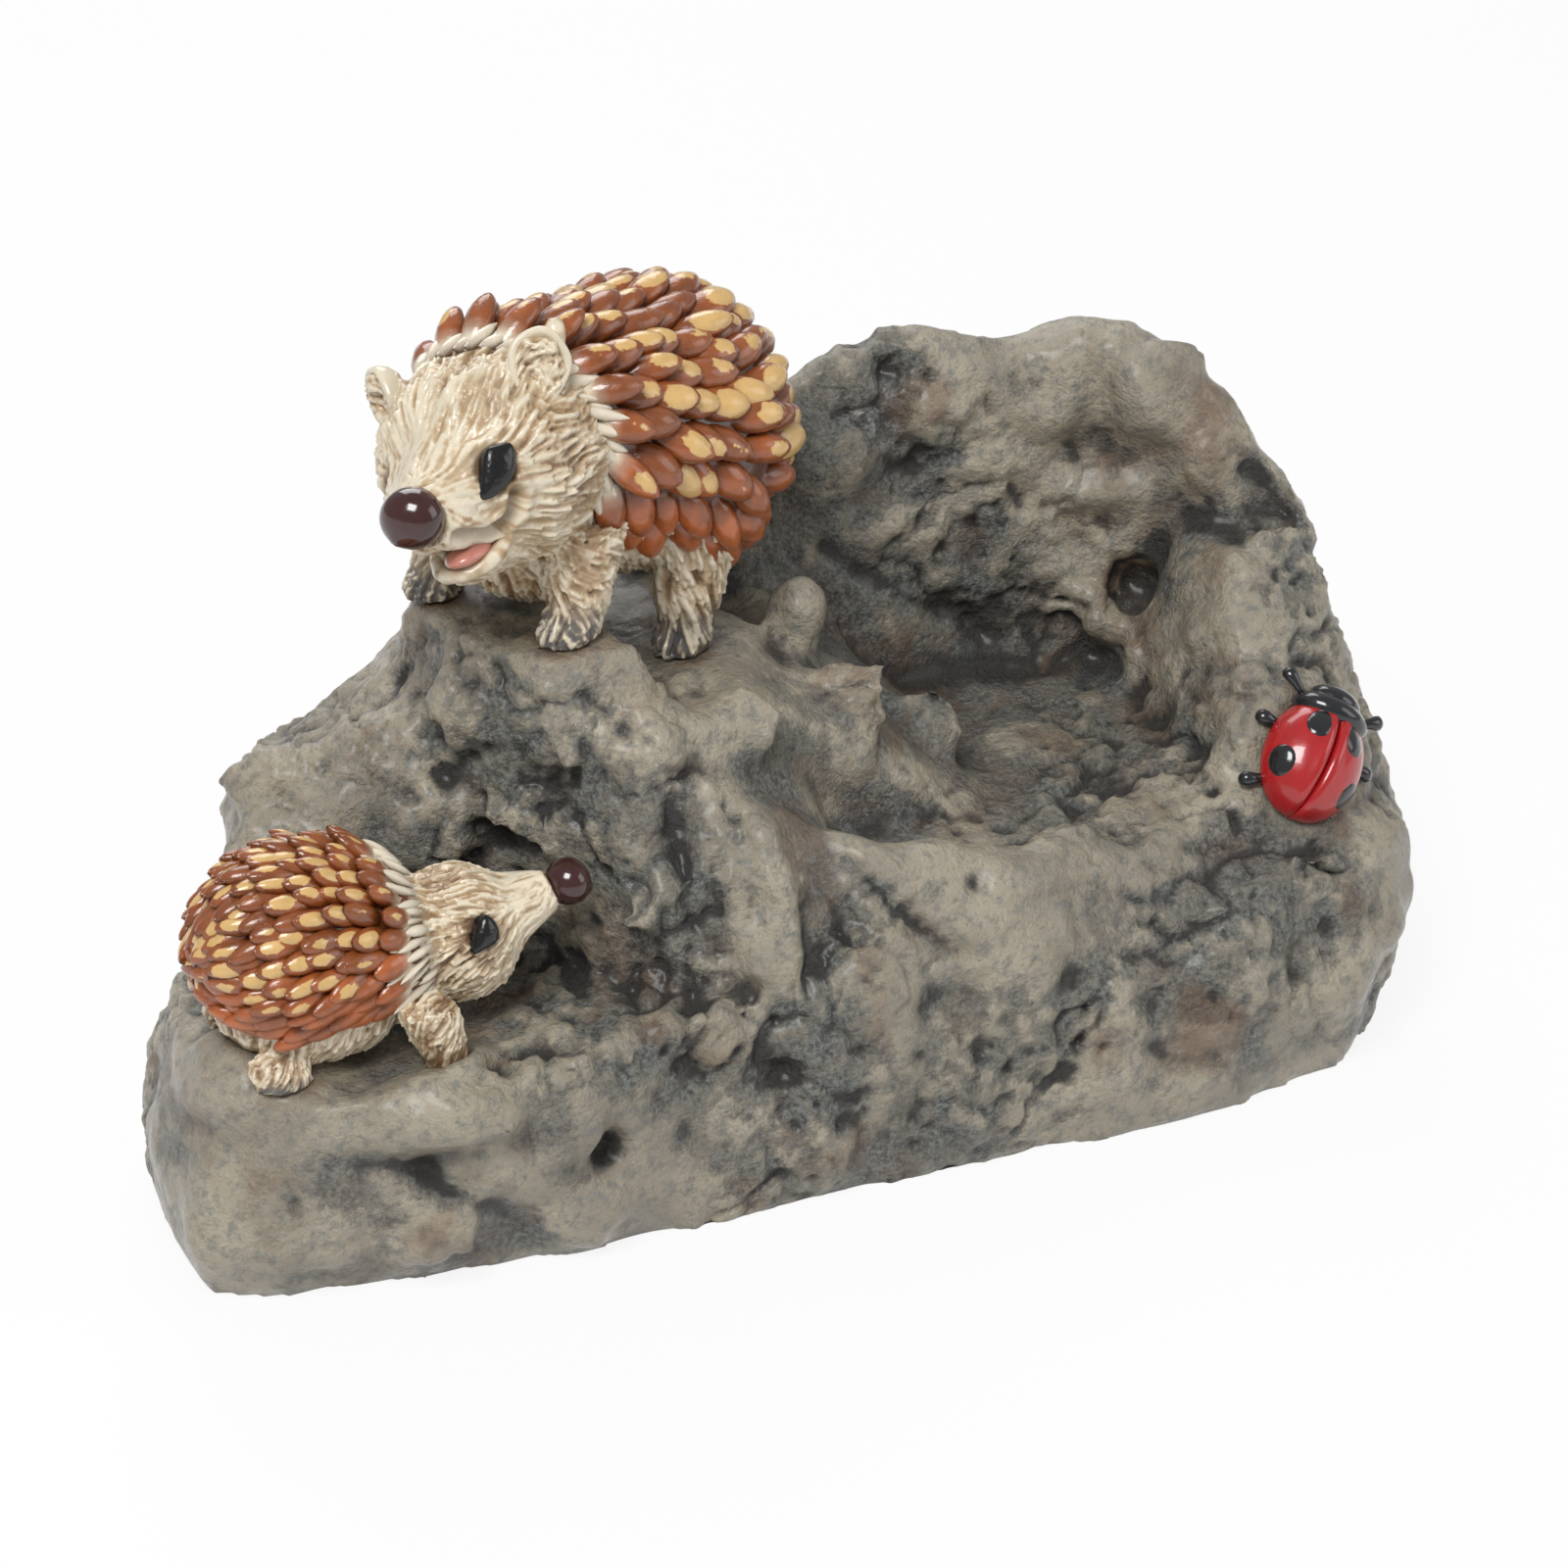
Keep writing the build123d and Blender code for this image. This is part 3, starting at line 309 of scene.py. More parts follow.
def ring_faces(rings, around, start=0, flipped=False):
    """faces between rings of points that follow each other in a list"""
    faces = []
    for ring in range(rings - 1):
        for step in range(around):
            a = start + ring * around + step
            b = start + ring * around + (step + 1) % around
            faces.append((a, a + around, b + around, b) if flipped else (a, b, b + around, a + around))
    return faces


def turns_round(around):
    """angles of the points of one ring"""
    return [2 * math.pi * step / around for step in range(around)]


def piece_from(name, vertices, faces, smooth=True):
    """new linked object from lists of points and faces"""
    mesh = bpy.data.meshes.new(name)
    mesh.from_pydata([tuple(point) for point in vertices], [], faces)
    mesh.validate()
    if smooth:
        mesh.shade_smooth()
    piece = bpy.data.objects.new(name, mesh)
    bpy.context.scene.collection.objects.link(piece)
    return piece


def cast_copy(name, node, voxel, smoothing, levels):
    """one closed skin over a CAD node, its facets melted together and refined"""
    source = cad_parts[node].data
    piece = piece_from(name, [vertex.co for vertex in source.vertices],
                       [list(polygon.vertices) for polygon in source.polygons])
    remesh = piece.modifiers.new("Skin", "REMESH")
    remesh.mode = "VOXEL"
    remesh.voxel_size = voxel
    soften = piece.modifiers.new("Soften", "SMOOTH")
    soften.factor = 0.5
    soften.iterations = smoothing
    refine = piece.modifiers.new("Refine", "SUBSURF")
    refine.levels = levels
    refine.render_levels = levels
    graph = bpy.context.evaluated_depsgraph_get()
    mesh = bpy.data.meshes.new_from_object(piece.evaluated_get(graph))
    piece.modifiers.clear()
    old = piece.data
    piece.data = mesh
    bpy.data.meshes.remove(old)
    mesh.name = name
    mesh.shade_smooth()
    return piece


def tree_of(names):
    """search tree over the surfaces of some CAD nodes"""
    points, faces = [], []
    for name in names:
        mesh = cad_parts[name].data
        start = len(points)
        points += [vertex.co.copy() for vertex in mesh.vertices]
        faces += [[start + index for index in polygon.vertices] for polygon in mesh.polygons]
    return BVHTree.FromPolygons(points, faces)


def distances(tree, points, reach):
    """distance of each point to the tree's surface, no more than the reach"""
    values = np.full(len(points), reach)
    for index, point in enumerate(points):
        hit = tree.find_nearest(Vector(point), reach)
        if hit[3] is not None:
            values[index] = hit[3]
    return values


def line_gap(points, corners):
    """distance of each point to a line through some corners"""
    best = np.full(len(points), 1.0)
    corners = np.asarray(corners, float)
    for start, end in zip(corners, corners[1:]):
        run = end - start
        share = np.clip((points - start) @ run / (run @ run), 0, 1)
        best = np.minimum(best, np.linalg.norm(points - start - share[:, None] * run, axis=1))
    return best


def finish_piece(piece, material, slot, *nodes):
    """paints a piece and lets it stand for its CAD nodes"""
    piece.data.materials.clear()
    piece.data.materials.append(material)
    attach(piece, "root")
    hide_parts(*nodes)


# Materials

class Paint:
    """Small helper that wires one material"""

    def __init__(self, name):
        self.material = bpy.data.materials.new(name)
        self.material.use_nodes = True
        self.nodes = self.material.node_tree.nodes
        self.links = self.material.node_tree.links
        self.shader = self.nodes["Principled BSDF"]
        self.place = self.node("ShaderNodeTexCoord").outputs["Object"]

    def node(self, kind, **values):
        made = self.nodes.new(kind)
        for key, value in values.items():
            setattr(made, key, value)
        return made

    def feed(self, socket, value):
        if isinstance(value, bpy.types.NodeSocket):
            self.links.new(value, socket)
        else:
            socket.default_value = value

    def attribute(self, name):
        return self.node("ShaderNodeAttribute", attribute_name=name).outputs["Fac"]

    def noise(self, scale, detail=3.0, roughness=0.55):
        made = self.node("ShaderNodeTexNoise")
        self.links.new(self.place, made.inputs["Vector"])
        made.inputs["Scale"].default_value = scale
        made.inputs["Detail"].default_value = detail
        made.inputs["Roughness"].default_value = roughness
        return made.outputs["Fac"]

    def ramp(self, value, low, high, start=0.0, end=1.0):
        made = self.node("ShaderNodeMapRange", interpolation_type="SMOOTHSTEP")
        self.feed(made.inputs["Value"], value)
        made.inputs["From Min"].default_value = low
        made.inputs["From Max"].default_value = high
        made.inputs["To Min"].default_value = start
        made.inputs["To Max"].default_value = end
        return made.outputs["Result"]

    def patches(self, scale, detail, roughness, low, high, start=0.0, end=1.0):
        """noise turned into soft-edged patches"""
        return self.ramp(self.noise(scale, detail, roughness), low, high, start, end)

    def math(self, operation, first, second, clamp=True):
        made = self.node("ShaderNodeMath", operation=operation)
        made.use_clamp = clamp
        self.feed(made.inputs[0], first)
        self.feed(made.inputs[1], second)
        return made.outputs["Value"]

    def times(self, first, second, clamp=True):
        return self.math("MULTIPLY", first, second, clamp)

    def plus(self, first, second, clamp=True):
        return self.math("ADD", first, second, clamp)

    def mix(self, share, first, second):
        made = self.node("ShaderNodeMix", data_type="RGBA")
        self.feed(made.inputs["Factor"], share)
        self.feed(made.inputs["A"], first)
        self.feed(made.inputs["B"], second)
        return made.outputs["Result"]

    def bump(self, height, strength, distance):
        made = self.node("ShaderNodeBump")
        made.inputs["Strength"].default_value = strength
        made.inputs["Distance"].default_value = distance
        self.links.new(height, made.inputs["Height"])
        self.links.new(made.outputs["Normal"], self.shader.inputs["Normal"])

    def surface(self, colour, roughness, coat=0.0, coat_roughness=0.1):
        self.feed(self.shader.inputs["Base Color"], colour)
        self.feed(self.shader.inputs["Roughness"], roughness)
        self.shader.inputs["Coat Weight"].default_value = coat
        self.shader.inputs["Coat Roughness"].default_value = coat_roughness


def toned(colour, share):
    """colour made darker or lighter"""
    return tuple(min(1.0, share * part) for part in colour[:3]) + (1.0,)


def rock_paint(settings):
    """beige bosses, sprayed grey hollows, dark wash and painted shade in cracks and hollows, and brown
    stains with painted shadow where other pieces touch
    """
    paint = Paint("Rock_paint")
    beige, grey = tuple(settings.beige), tuple(settings.grey)
    wash_and_shade_colour, umber = tuple(settings.wash_and_shade_colour), tuple(settings.umber)
    broken = paint.math("SUBTRACT", paint.noise(230.0, 6.0, 0.74), 0.5, clamp=False)
    ragged_tone = paint.plus(paint.attribute("tone"), paint.times(broken, 1.5, clamp=False), clamp=False)
    spray = paint.ramp(ragged_tone, 0.20, 0.80)
    freckles = paint.patches(1300.0, 4.0, 0.75, 0.38, 0.64)
    rough_grey = paint.mix(freckles, toned(grey, 0.36), toned(grey, 1.55))
    dust = paint.patches(210.0, 3.0, 0.55, 0.35, 0.7, 0.0, 0.4)
    rough_grey = paint.mix(dust, rough_grey, toned(beige, 0.62))
    pale = paint.mix(paint.patches(75.0, 3.0, 0.55, 0.35, 0.7), beige, toned(beige, 0.70))
    pale = paint.mix(paint.patches(520.0, 5.0, 0.75, 0.46, 0.66, 0.0, 0.75), pale, grey)
    pale = paint.mix(paint.patches(900.0, 5.0, 0.8, 0.60, 0.68, 0.0, 0.6), pale, toned(umber, 0.8))
    colour = paint.mix(spray, pale, rough_grey)
    # brown stain from noise, with painted shadow where other pieces touch the rock and painted shade in
    # broad hollows
    stain_and_shadow = paint.times(paint.patches(95.0, 4.0, 0.65, 0.38, 0.66), paint.attribute("stain_and_shadow"))
    colour = paint.mix(paint.times(stain_and_shadow, 0.85), colour, umber)
    # dark wash and painted shade: cracks, pits, dents and hollows are painted darker
    crack = paint.plus(paint.attribute("crack"), paint.times(broken, 0.8, clamp=False))
    colour = paint.mix(paint.times(paint.ramp(crack, 0.32, 0.92), 0.92), colour, wash_and_shade_colour)
    paint.surface(colour, paint.ramp(spray, 0.1, 0.9, 0.28, 0.44), coat=0.30, coat_roughness=0.24)
    grain = paint.times(paint.noise(1200.0, 4.0, 0.7), paint.ramp(spray, 0.0, 0.8, 0.42, 1.0))
    waves = paint.times(paint.noise(330.0, 3.0, 0.6), 0.9)
    paint.bump(paint.plus(grain, waves, clamp=False), strength=0.85, distance=0.0014)
    return paint.material


def fur_paint(settings, name, painted_light_factor):
    """cream strokes with a brown wash between them and a dark wash on the paws"""
    paint = Paint(name)
    # the cream can be lightened by a factor, which gives a lit copy of the fur paint
    cream, wash = toned(settings.cream, painted_light_factor), tuple(settings.wash)
    groove = paint.attribute("groove")
    colour = paint.mix(paint.patches(180.0, 3.0, 0.55, 0.3, 0.75), cream, toned(cream, 0.82))
    thin_brush = paint.patches(130.0, 2.0, 0.55, 0.3, 0.65, 0.6, 1.0)
    colour = paint.mix(paint.times(paint.ramp(groove, 0.26, 0.62), thin_brush), colour, tuple(settings.tan))
    deep_brush = paint.patches(110.0, 3.0, 0.55, 0.35, 0.65, 0.35, 0.95)
    colour = paint.mix(paint.times(paint.ramp(groove, 0.52, 0.95), deep_brush), colour, wash)
    dark = paint.times(paint.attribute("paw"), paint.ramp(groove, 0.25, 0.75, 0.12, 0.95))
    colour = paint.mix(dark, colour, tuple(settings.paw_grey))
    colour = paint.mix(paint.times(paint.attribute("wash"), 0.85), colour, toned(wash, 0.8))
    paint.surface(colour, paint.ramp(groove, 0.2, 0.9, 0.32, 0.5), coat=0.5, coat_roughness=0.14)
    paint.bump(paint.noise(900.0), strength=0.15, distance=0.0004)
    return paint.material


def quill_paint(settings, name):
    """chestnut quills with ochre tips under a thick gloss"""
    paint = Paint(name)
    chestnut, russet, ochre = tuple(settings.chestnut), tuple(settings.russet), tuple(settings.ochre)
    body = paint.mix(paint.attribute("russet"), chestnut, russet)
    body = paint.mix(paint.patches(260.0, 3.0, 0.55, 0.35, 0.7, 0.0, 0.65), body, toned(chestnut, 0.50))
    wander = paint.patches(750.0, 3.0, 0.55, 0.3, 0.7, -0.07, 0.07)
    edge = paint.plus(paint.attribute("ochre"), wander, clamp=False)
    gold = paint.mix(paint.patches(420.0, 3.0, 0.55, 0.4, 0.75, 0.0, 0.5), ochre, toned(ochre, 0.72))
    colour = paint.mix(paint.ramp(edge, 0.46, 0.54), body, gold)
    colour = paint.mix(paint.attribute("cream"), colour, tuple(settings.cream))
    # dark wash and painted shade: quill roots, quill undersides and the skin between the quills are darker
    colour = paint.mix(paint.times(paint.attribute("root"), 0.85), colour, toned(chestnut, 0.28))
    paint.surface(colour, 0.30, coat=0.6, coat_roughness=0.08)
    paint.bump(paint.noise(330.0), strength=0.42, distance=0.0009)
    return paint.material


def gloss_paint(name, colour, roughness=0.16, mottle=0.35, coat=0.6, unevenness=0.12):
    """even gloss paint with faint brush unevenness"""
    paint = Paint(name)
    colour = tuple(colour)
    tone = paint.mix(paint.patches(380.0, 3.0, 0.55, 0.35, 0.75, 0.0, mottle), colour, toned(colour, 0.55))
    paint.surface(tone, roughness, coat, coat_roughness=0.06)
    paint.bump(paint.noise(520.0, 2.0), strength=unevenness, distance=0.0005)
    return paint.material


# The rock

# In millimetres: a spot is x, y, z, reach and weight or depth, and a line is corners, reach and depth
STONE_TONES = (
    (73, 15, 80, 15, -0.9), (56, 21, 75, 10, -0.9), (43, 24, 62, 9, -0.5), (73, -4, 56, 10, -0.7),
    (62, 17, 49, 10, -0.5), (65, 1, 40, 9, -0.5), (32, -35, 38, 11, -0.8), (16, -42, 33, 10, -0.9),
    (4, -44, 27, 10, -0.5), (-12, -19, 60, 9, -0.8), (-64, 5, 51, 15, -0.8), (-33, -14, 72, 10, -0.5),
    (-38, -44, 6, 14, -0.6), (-87, -34, 25, 12, -0.8), (-64, -45, 14, 10, -0.6), (11, 2, 62, 7, -0.9),
    (-11, -34, 45, 7, -0.9), (34, -49, 8, 14, -0.6), (74, -44, 13, 12, -0.4), (24, -11, 39, 10, -0.4),
    (50, -30, 36, 10, -0.5), (-26, -43, 10, 9, -0.4), (-88, -36, 10, 12, -0.6), (-12, -35, 34, 8, -0.8),
    (27, 22, 72, 15, 0.8), (34, 27, 83, 9, 0.5), (-36, -16, 56, 13, 0.8), (-30, -27, 47, 10, 0.6),
    (58, -46, 19, 11, 0.7), (-28, -33, 36, 10, 0.8), (2, -40, 36, 9, 0.8), (52, -40, 29, 11, 0.7),
    (24, 23, 46, 12, 0.6), (26, 2, 48, 12, 0.7), (47, 22, 50, 9, 0.9), (-52, -8, 43, 11, 0.7),
    (-43, -8, 64, 9, 0.6), (-78, -40, 21, 7, 0.8), (13, -47, 11, 10, 0.7), (-12, -43, 18, 9, 0.8),
    (-43, -44, 28, 9, 0.7), (33, -43, 22, 12, 0.7), (83, -8, 55, 10, 0.7), (85, 8, 67, 9, 0.6),
    (46, -12, 36, 10, 0.4), (-68, -39, 29, 8, 0.5), (73, -42, 24, 9, 0.8), (-60, -42, 8, 9, 0.5),
)
STONE_DENTS = (
    (-40, -44, 15, 2.4, 4.0), (49, 21, 44, 6.5, 2.4), (72, 14, 54, 3.2, 1.8), (17, -37, 38, 1.8, 1.4),
    (-15, -42, 20, 4.5, 2.2), (49, -44, 27, 4.5, 1.8), (-37, -18, 51, 1.9, 1.6), (-46, -5, 53, 2.2, 1.6),
    (53, 22, 61, 4.0, 2.0), (29, -44, 24, 3.4, 1.6), (-6, -47, 12, 4.0, 1.8), (73, -40, 30, 4.5, 2.2),
    (62, 5, 47, 2.6, 1.4), (78, 3, 62, 2.6, 1.3), (38, 24, 70, 2.4, 1.3), (-33, -22, 29, 3.0, 1.6),
    (29, -1, 48, 3.2, 2.0), (61, 20, 68, 3.4, 1.8), (55, 22, 79, 3.6, 1.4),
    (76, 9, 62, 3.0, 1.8), (82, -6, 58, 3.4, 1.6), (84, 8, 67, 3.0, 1.4), (49, -14, 36, 4.0, 1.4),
    (-58, -38, 21, 2.4, 1.5), (-83, -41, 15, 2.2, 1.3), (5, -46, 18, 2.4, 1.3),
)
STONE_GROOVES = (
    (((-22, -27, 52), (-23, -32, 41), (-24, -36, 30), (-27, -41, 22)), 2.2, 2.0),
    (((-6, -31, 49), (-6, -36, 41), (-9, -40, 31)), 1.8, 1.4),
    (((-2, -32, 46), (4, -38, 38), (12, -43, 31)), 2.0, 1.4),
    (((64, -37, 35), (73, -41, 30), (84, -38, 30)), 1.8, 1.8),
    (((-56, -5, 60), (-50, -9, 50), (-49, -14, 40)), 2.4, 1.4),
    (((24, 23, 60), (36, 25, 50), (48, 21, 43)), 2.2, 1.5),
    (((-30, -14, 66), (-18, -19, 55), (-10, -24, 50)), 2.0, 1.2),
    (((-88, -37, 30), (-80, -42, 22), (-66, -44, 18)), 1.8, 1.1),
    (((-66, -45, 17), (-56, -46, 11), (-52, -47, 3)), 2.4, 1.8),
    (((-74, -40, 27), (-60, -39, 28), (-48, -38, 29)), 1.3, 1.2),
    (((22, -47, 10), (36, -47, 13), (48, -46, 9)), 2.6, 1.4),
)
STONE_FOLDS = (
    (((-13, -26, 53), (-12, -31, 49), (-11, -35, 42), (-14, -37, 33)), 2.6, 1.3),
    (((-17, -24, 53), (-17, -31, 46), (-17, -35, 37), (-15, -37, 32)), 2.0, 1.0),
    (((14, -36, 37), (30, -37, 37), (46, -35, 35)), 3.0, 0.9),
    (((50, 24, 80), (55, 21, 74), (58, 19, 64), (60, 17, 52)), 3.6, 0.9),
    (((-92, -32, 30), (-84, -40, 29), (-72, -41, 29), (-58, -40, 29)), 2.6, 1.0),
    (((-8, -3, 60), (-6, -12, 60), (-12, -20, 60)), 3.4, 0.8),
    (((64, 22, 86), (69, 17, 81)), 3.8, 1.5),
    (((71, 15, 76), (75, 12, 71)), 3.4, 1.4),
    (((54, 22, 60), (62, 19, 62), (70, 17, 63)), 2.4, 1.4),
    (((70, -7, 52), (68, -2, 48)), 3.2, 1.2),
    (((47, 24, 73), (41, 24, 78)), 3.6, 1.1),
    (((-93, -34, 9), (-84, -42, 7), (-70, -45, 7)), 4.0, 1.8),
    (((-56, -44, 15), (-47, -45, 9), (-34, -46, 6)), 4.0, 1.5),
    (((-76, -43, 24), (-70, -44, 26), (-62, -43, 25)), 3.6, 1.2),
    (((60, -46, 12), (74, -44, 15), (86, -36, 20)), 4.5, 1.4),
)


def spot_hills(points, spots):
    """nearness of each point to a spot, from 0 to 1, with the spot's weight"""
    for *spot, reach, weight in spots:
        gap = np.linalg.norm(points - np.array(spot) * MM, axis=1) / (reach * MM)
        yield np.exp(-gap ** 2), weight


def line_hills(points, lines):
    """nearness of each point to a line, from 0 to 1, with the line's depth"""
    for corners, reach, depth in lines:
        gap = line_gap(points, np.array(corners) * MM) / (reach * MM)
        yield np.exp(-gap ** 2), depth


class ORNAMENT_OT_rock(bpy.types.Operator):
    """Carve and paint the rock over its CAD solid"""
    bl_idname = "ornament.rock"
    bl_label = "Rock"

    def execute(self, context):
        settings = context.scene.ornament_rock
        piece = cast_copy("Rock", "rock_base", voxel=1.5 * MM, smoothing=7, levels=1)
        mesh = piece.data
        points, outward = coordinates(mesh), normals(mesh)
        links = neighbours(mesh)
        others = [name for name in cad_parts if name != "rock_base"]
        near = distances(tree_of(others), points, 7 * MM)
        free = smooth_step(near, 0.3 * MM, 4.5 * MM)
        foot = smooth_step(points[:, 2], 0.2 * MM, 6 * MM)

        tone = np.zeros(len(points))
        for hill, weight in spot_hills(points, STONE_TONES):
            tone += weight * hill
        tone = np.clip(tone, -1, 1)
        warp = noise_vectors(points, cell=14 * MM, seed=60, layers=2) * 4 * MM
        warped = points + warp
        broad = centred_noise(warped, cell=17 * MM, seed=3, layers=2)
        lumps = centred_noise(warped, cell=8 * MM, seed=5, layers=2)
        ridge = np.abs(centred_noise(warped, cell=13 * MM, seed=7, layers=3)) * 2
        crack = 1 - smooth_step(ridge, 0.0, 0.09)
        fine_ridge = np.abs(centred_noise(warped, cell=6 * MM, seed=9, layers=2)) * 2
        fine_crack = 1 - smooth_step(fine_ridge, 0.0, 0.13)
        weather = layered_noise(points, cell=24 * MM, seed=12, layers=2)
        rough = smooth_step(weather + 0.22 * tone, 0.42, 0.62)
        pits = pit_field(points + 0.4 * warp, cell=7.5 * MM, seed=21, fill=0.42)
        small_pits = pit_field(points + 0.3 * warp, cell=3.4 * MM, seed=22, fill=0.5)
        grain = centred_noise(points, cell=2.0 * MM, seed=31, layers=2)
        crumbs = centred_noise(points, cell=3.6 * MM, seed=35, layers=3)
        move = 2 * settings.lump_depth * broad + 1.9 * MM * lumps + 1.5 * MM * crumbs * (0.40 + 0.60 * rough)
        move -= settings.crease_depth * crack * (0.12 + 0.60 * rough)
        move -= 0.35 * MM * fine_crack * (0.1 + 0.9 * rough)
        move -= 1.3 * MM * smooth_step(pits, 0.0, 0.8) * (0.38 + 0.62 * rough)
        move -= 0.9 * MM * smooth_step(small_pits, 0.0, 0.8) * rough
        move += 3.2 * settings.grain_depth * grain * (0.15 + rough)
        dark = np.zeros(len(points))
        for bowl, depth in spot_hills(points + 0.25 * warp, STONE_DENTS):
            move -= depth * MM * bowl
            dark = np.maximum(dark, bowl)
        for bowl, depth in line_hills(points + 0.35 * warp, STONE_GROOVES):
            move -= depth * MM * bowl
            dark = np.maximum(dark, 0.7 * bowl)
        for bulge, height in line_hills(points + 0.25 * warp, STONE_FOLDS):
            move += height * MM * bulge
            tone -= 0.7 * bulge
        move *= free * (0.65 + 0.35 * foot)
        sheet = outward.copy()
        sheet[:, 2] *= foot
        moved = points + sheet * move[:, None]
        moved[points[:, 2] < 0.6 * MM, 2] = 0.0
        moved[:, 2] = np.maximum(moved[:, 2], 0.0)
        set_coordinates(mesh, moved)

        shaped = normals(mesh)
        close = evened(moved, links, 14)
        wide = evened(close, links, 130)
        fine_hollow = np.sum((close - moved) * shaped, axis=1) / (0.22 * MM)
        wide_hollow = np.sum((wide - moved) * shaped, axis=1) / (1.5 * MM)
        # painted shadow on the rock close to the pieces that stand on it
        contact_shadow = 1 - smooth_step(near, 0.2 * MM, 2.2 * MM)
        cloud = centred_noise(points, cell=11 * MM, seed=15, layers=4)
        # partly painted shade: broad and fine hollows and low faces that turn away from the top get more of
        # the darker grey, beside the listed and random tone
        tone = 0.48 + 0.42 * np.clip(tone, -1, 1) + 0.30 * np.clip(wide_hollow, -1, 1) + 1.15 * cloud
        tone += 0.12 * np.clip(fine_hollow, -1, 1) + 0.12 * (1 - shaped[:, 2]) * (points[:, 2] < 8 * MM)
        set_attribute(mesh, "tone", np.clip(tone, 0, 1))
        # dark wash and painted shade, darker in fine and wide hollows, listed dents and grooves, creases and
        # pits
        crack_wash_and_shade = 0.30 * np.clip(fine_hollow, 0, 1.6) + 0.32 * np.clip(wide_hollow, 0, 1.5)
        crack_wash_and_shade += 0.55 * dark + 0.05 * fine_crack * rough + 0.12 * crack * rough + 0.25 * pits * rough
        crack_wash_and_shade += 0.45 * small_pits * rough
        crack_wash_and_shade *= 0.40 + 0.60 * smooth_step(tone, 0.2, 0.7)
        set_attribute(mesh, "crack", np.clip(crack_wash_and_shade, 0, 1))
        # brown stain from noise, painted shade in wide hollows and painted shadow where other pieces touch
        brown = layered_noise(points, cell=16 * MM, seed=44, layers=3)
        stain_and_shadow = np.maximum(0.9 * contact_shadow, np.clip(0.9 * wide_hollow, 0, 1))
        stain_and_shadow = np.maximum(stain_and_shadow, 0.8 * smooth_step(brown, 0.56, 0.66))
        set_attribute(mesh, "stain_and_shadow", np.clip(stain_and_shadow, 0, 1))
        finish_piece(piece, rock_paint(settings), "rock", "rock_base")
        return {"FINISHED"}


# The hedgehogs' fur

TUFTS_IN_REACH = 12
TOE_GROOVES = (-0.45, 0.0, 0.45)


def fur_flow(points, head, torso, head_reach, seed):
    """direction in which the fur lies: back from the nose on the head, back and down on the body"""
    from_nose = points - head.world((1.5 * head_reach, 0, 0))
    from_nose /= np.linalg.norm(from_nose, axis=1)[:, None]
    down = unit(-torso.directions[0] * 0.45 + np.array((0, 0, -1.0)))
    gap = np.linalg.norm(points - head.origin, axis=1)
    share = smooth_step(gap, 1.15 * head_reach, 1.7 * head_reach)[:, None]
    return from_nose * (1 - share) + down * share + 0.9 * noise_vectors(points, 4.2 * MM, seed, layers=1)


def along_skin(flow, outward):
    """flow laid flat on the skin"""
    flow = flow - outward * np.sum(flow * outward, axis=1)[:, None]
    return flow / (np.linalg.norm(flow, axis=1)[:, None] + 1e-9)


def lay_tufts(points, outward, flow, spacing, length, width, seed):
    """height of overlapping pointed tufts laid along the flow"""
    picker = np.random.default_rng(seed)
    order = picker.permutation(len(points))
    cells = np.floor(points[order] / spacing).astype(np.int64)
    seats = order[np.unique(cells, axis=0, return_index=True)[1]]
    tree = KDTree(len(seats))
    for index, seat in enumerate(seats):
        tree.insert(points[seat], index)
    tree.balance()
    nearest = np.array([[found[1] for found in tree.find_n(point, TUFTS_IN_REACH)] for point in points])
    size = picker.uniform(0.8, 1.25, len(seats))
    rise = picker.uniform(-0.22, 0.22, len(seats))
    best = np.full(len(points), -0.4)
    for pick in nearest.T:
        seat = seats[pick]
        gap = points - points[seat]
        side = np.cross(outward[seat], flow[seat])
        along = np.sum(gap * flow[seat], axis=1) / (length * size[pick]) + 0.25
        across = np.sum(gap * side, axis=1) / (0.5 * width * size[pick])
        share = across / (np.clip(1 - np.clip(along, 0, 1) ** 1.8, 0.0, 1) ** 0.6 + 1e-6)
        inside = (np.abs(share) < 1) & (along > 0) & (along < 1)
        height = np.sqrt(np.clip(1 - share ** 2, 0, 1)) * (0.25 + 0.75 * along) + rise[pick]
        best = np.where(inside & (height > best), height, best)
    return best


def paw_marks(points, place, half_width, level):
    """how far each point belongs to a paw, and to the grooves of its toes"""
    foot = place.local(points)
    here = np.abs(foot[:, 0] - 0.6 * half_width) < 1.8 * half_width
    here &= np.abs(foot[:, 1]) < 1.15 * half_width
    paw = (1 - smooth_step(foot[:, 2], level * 0.35, level)) * here
    toes = np.zeros(len(points))
    for groove in TOE_GROOVES:
        toes = np.maximum(toes, np.exp(-((foot[:, 1] / half_width - groove) / 0.09) ** 2))
    toes *= here * (1 - smooth_step(foot[:, 2], 0.5 * level, 0.8 * level))
    toes *= smooth_step(foot[:, 0], 0.0, 0.4 * half_width)
    return paw, toes


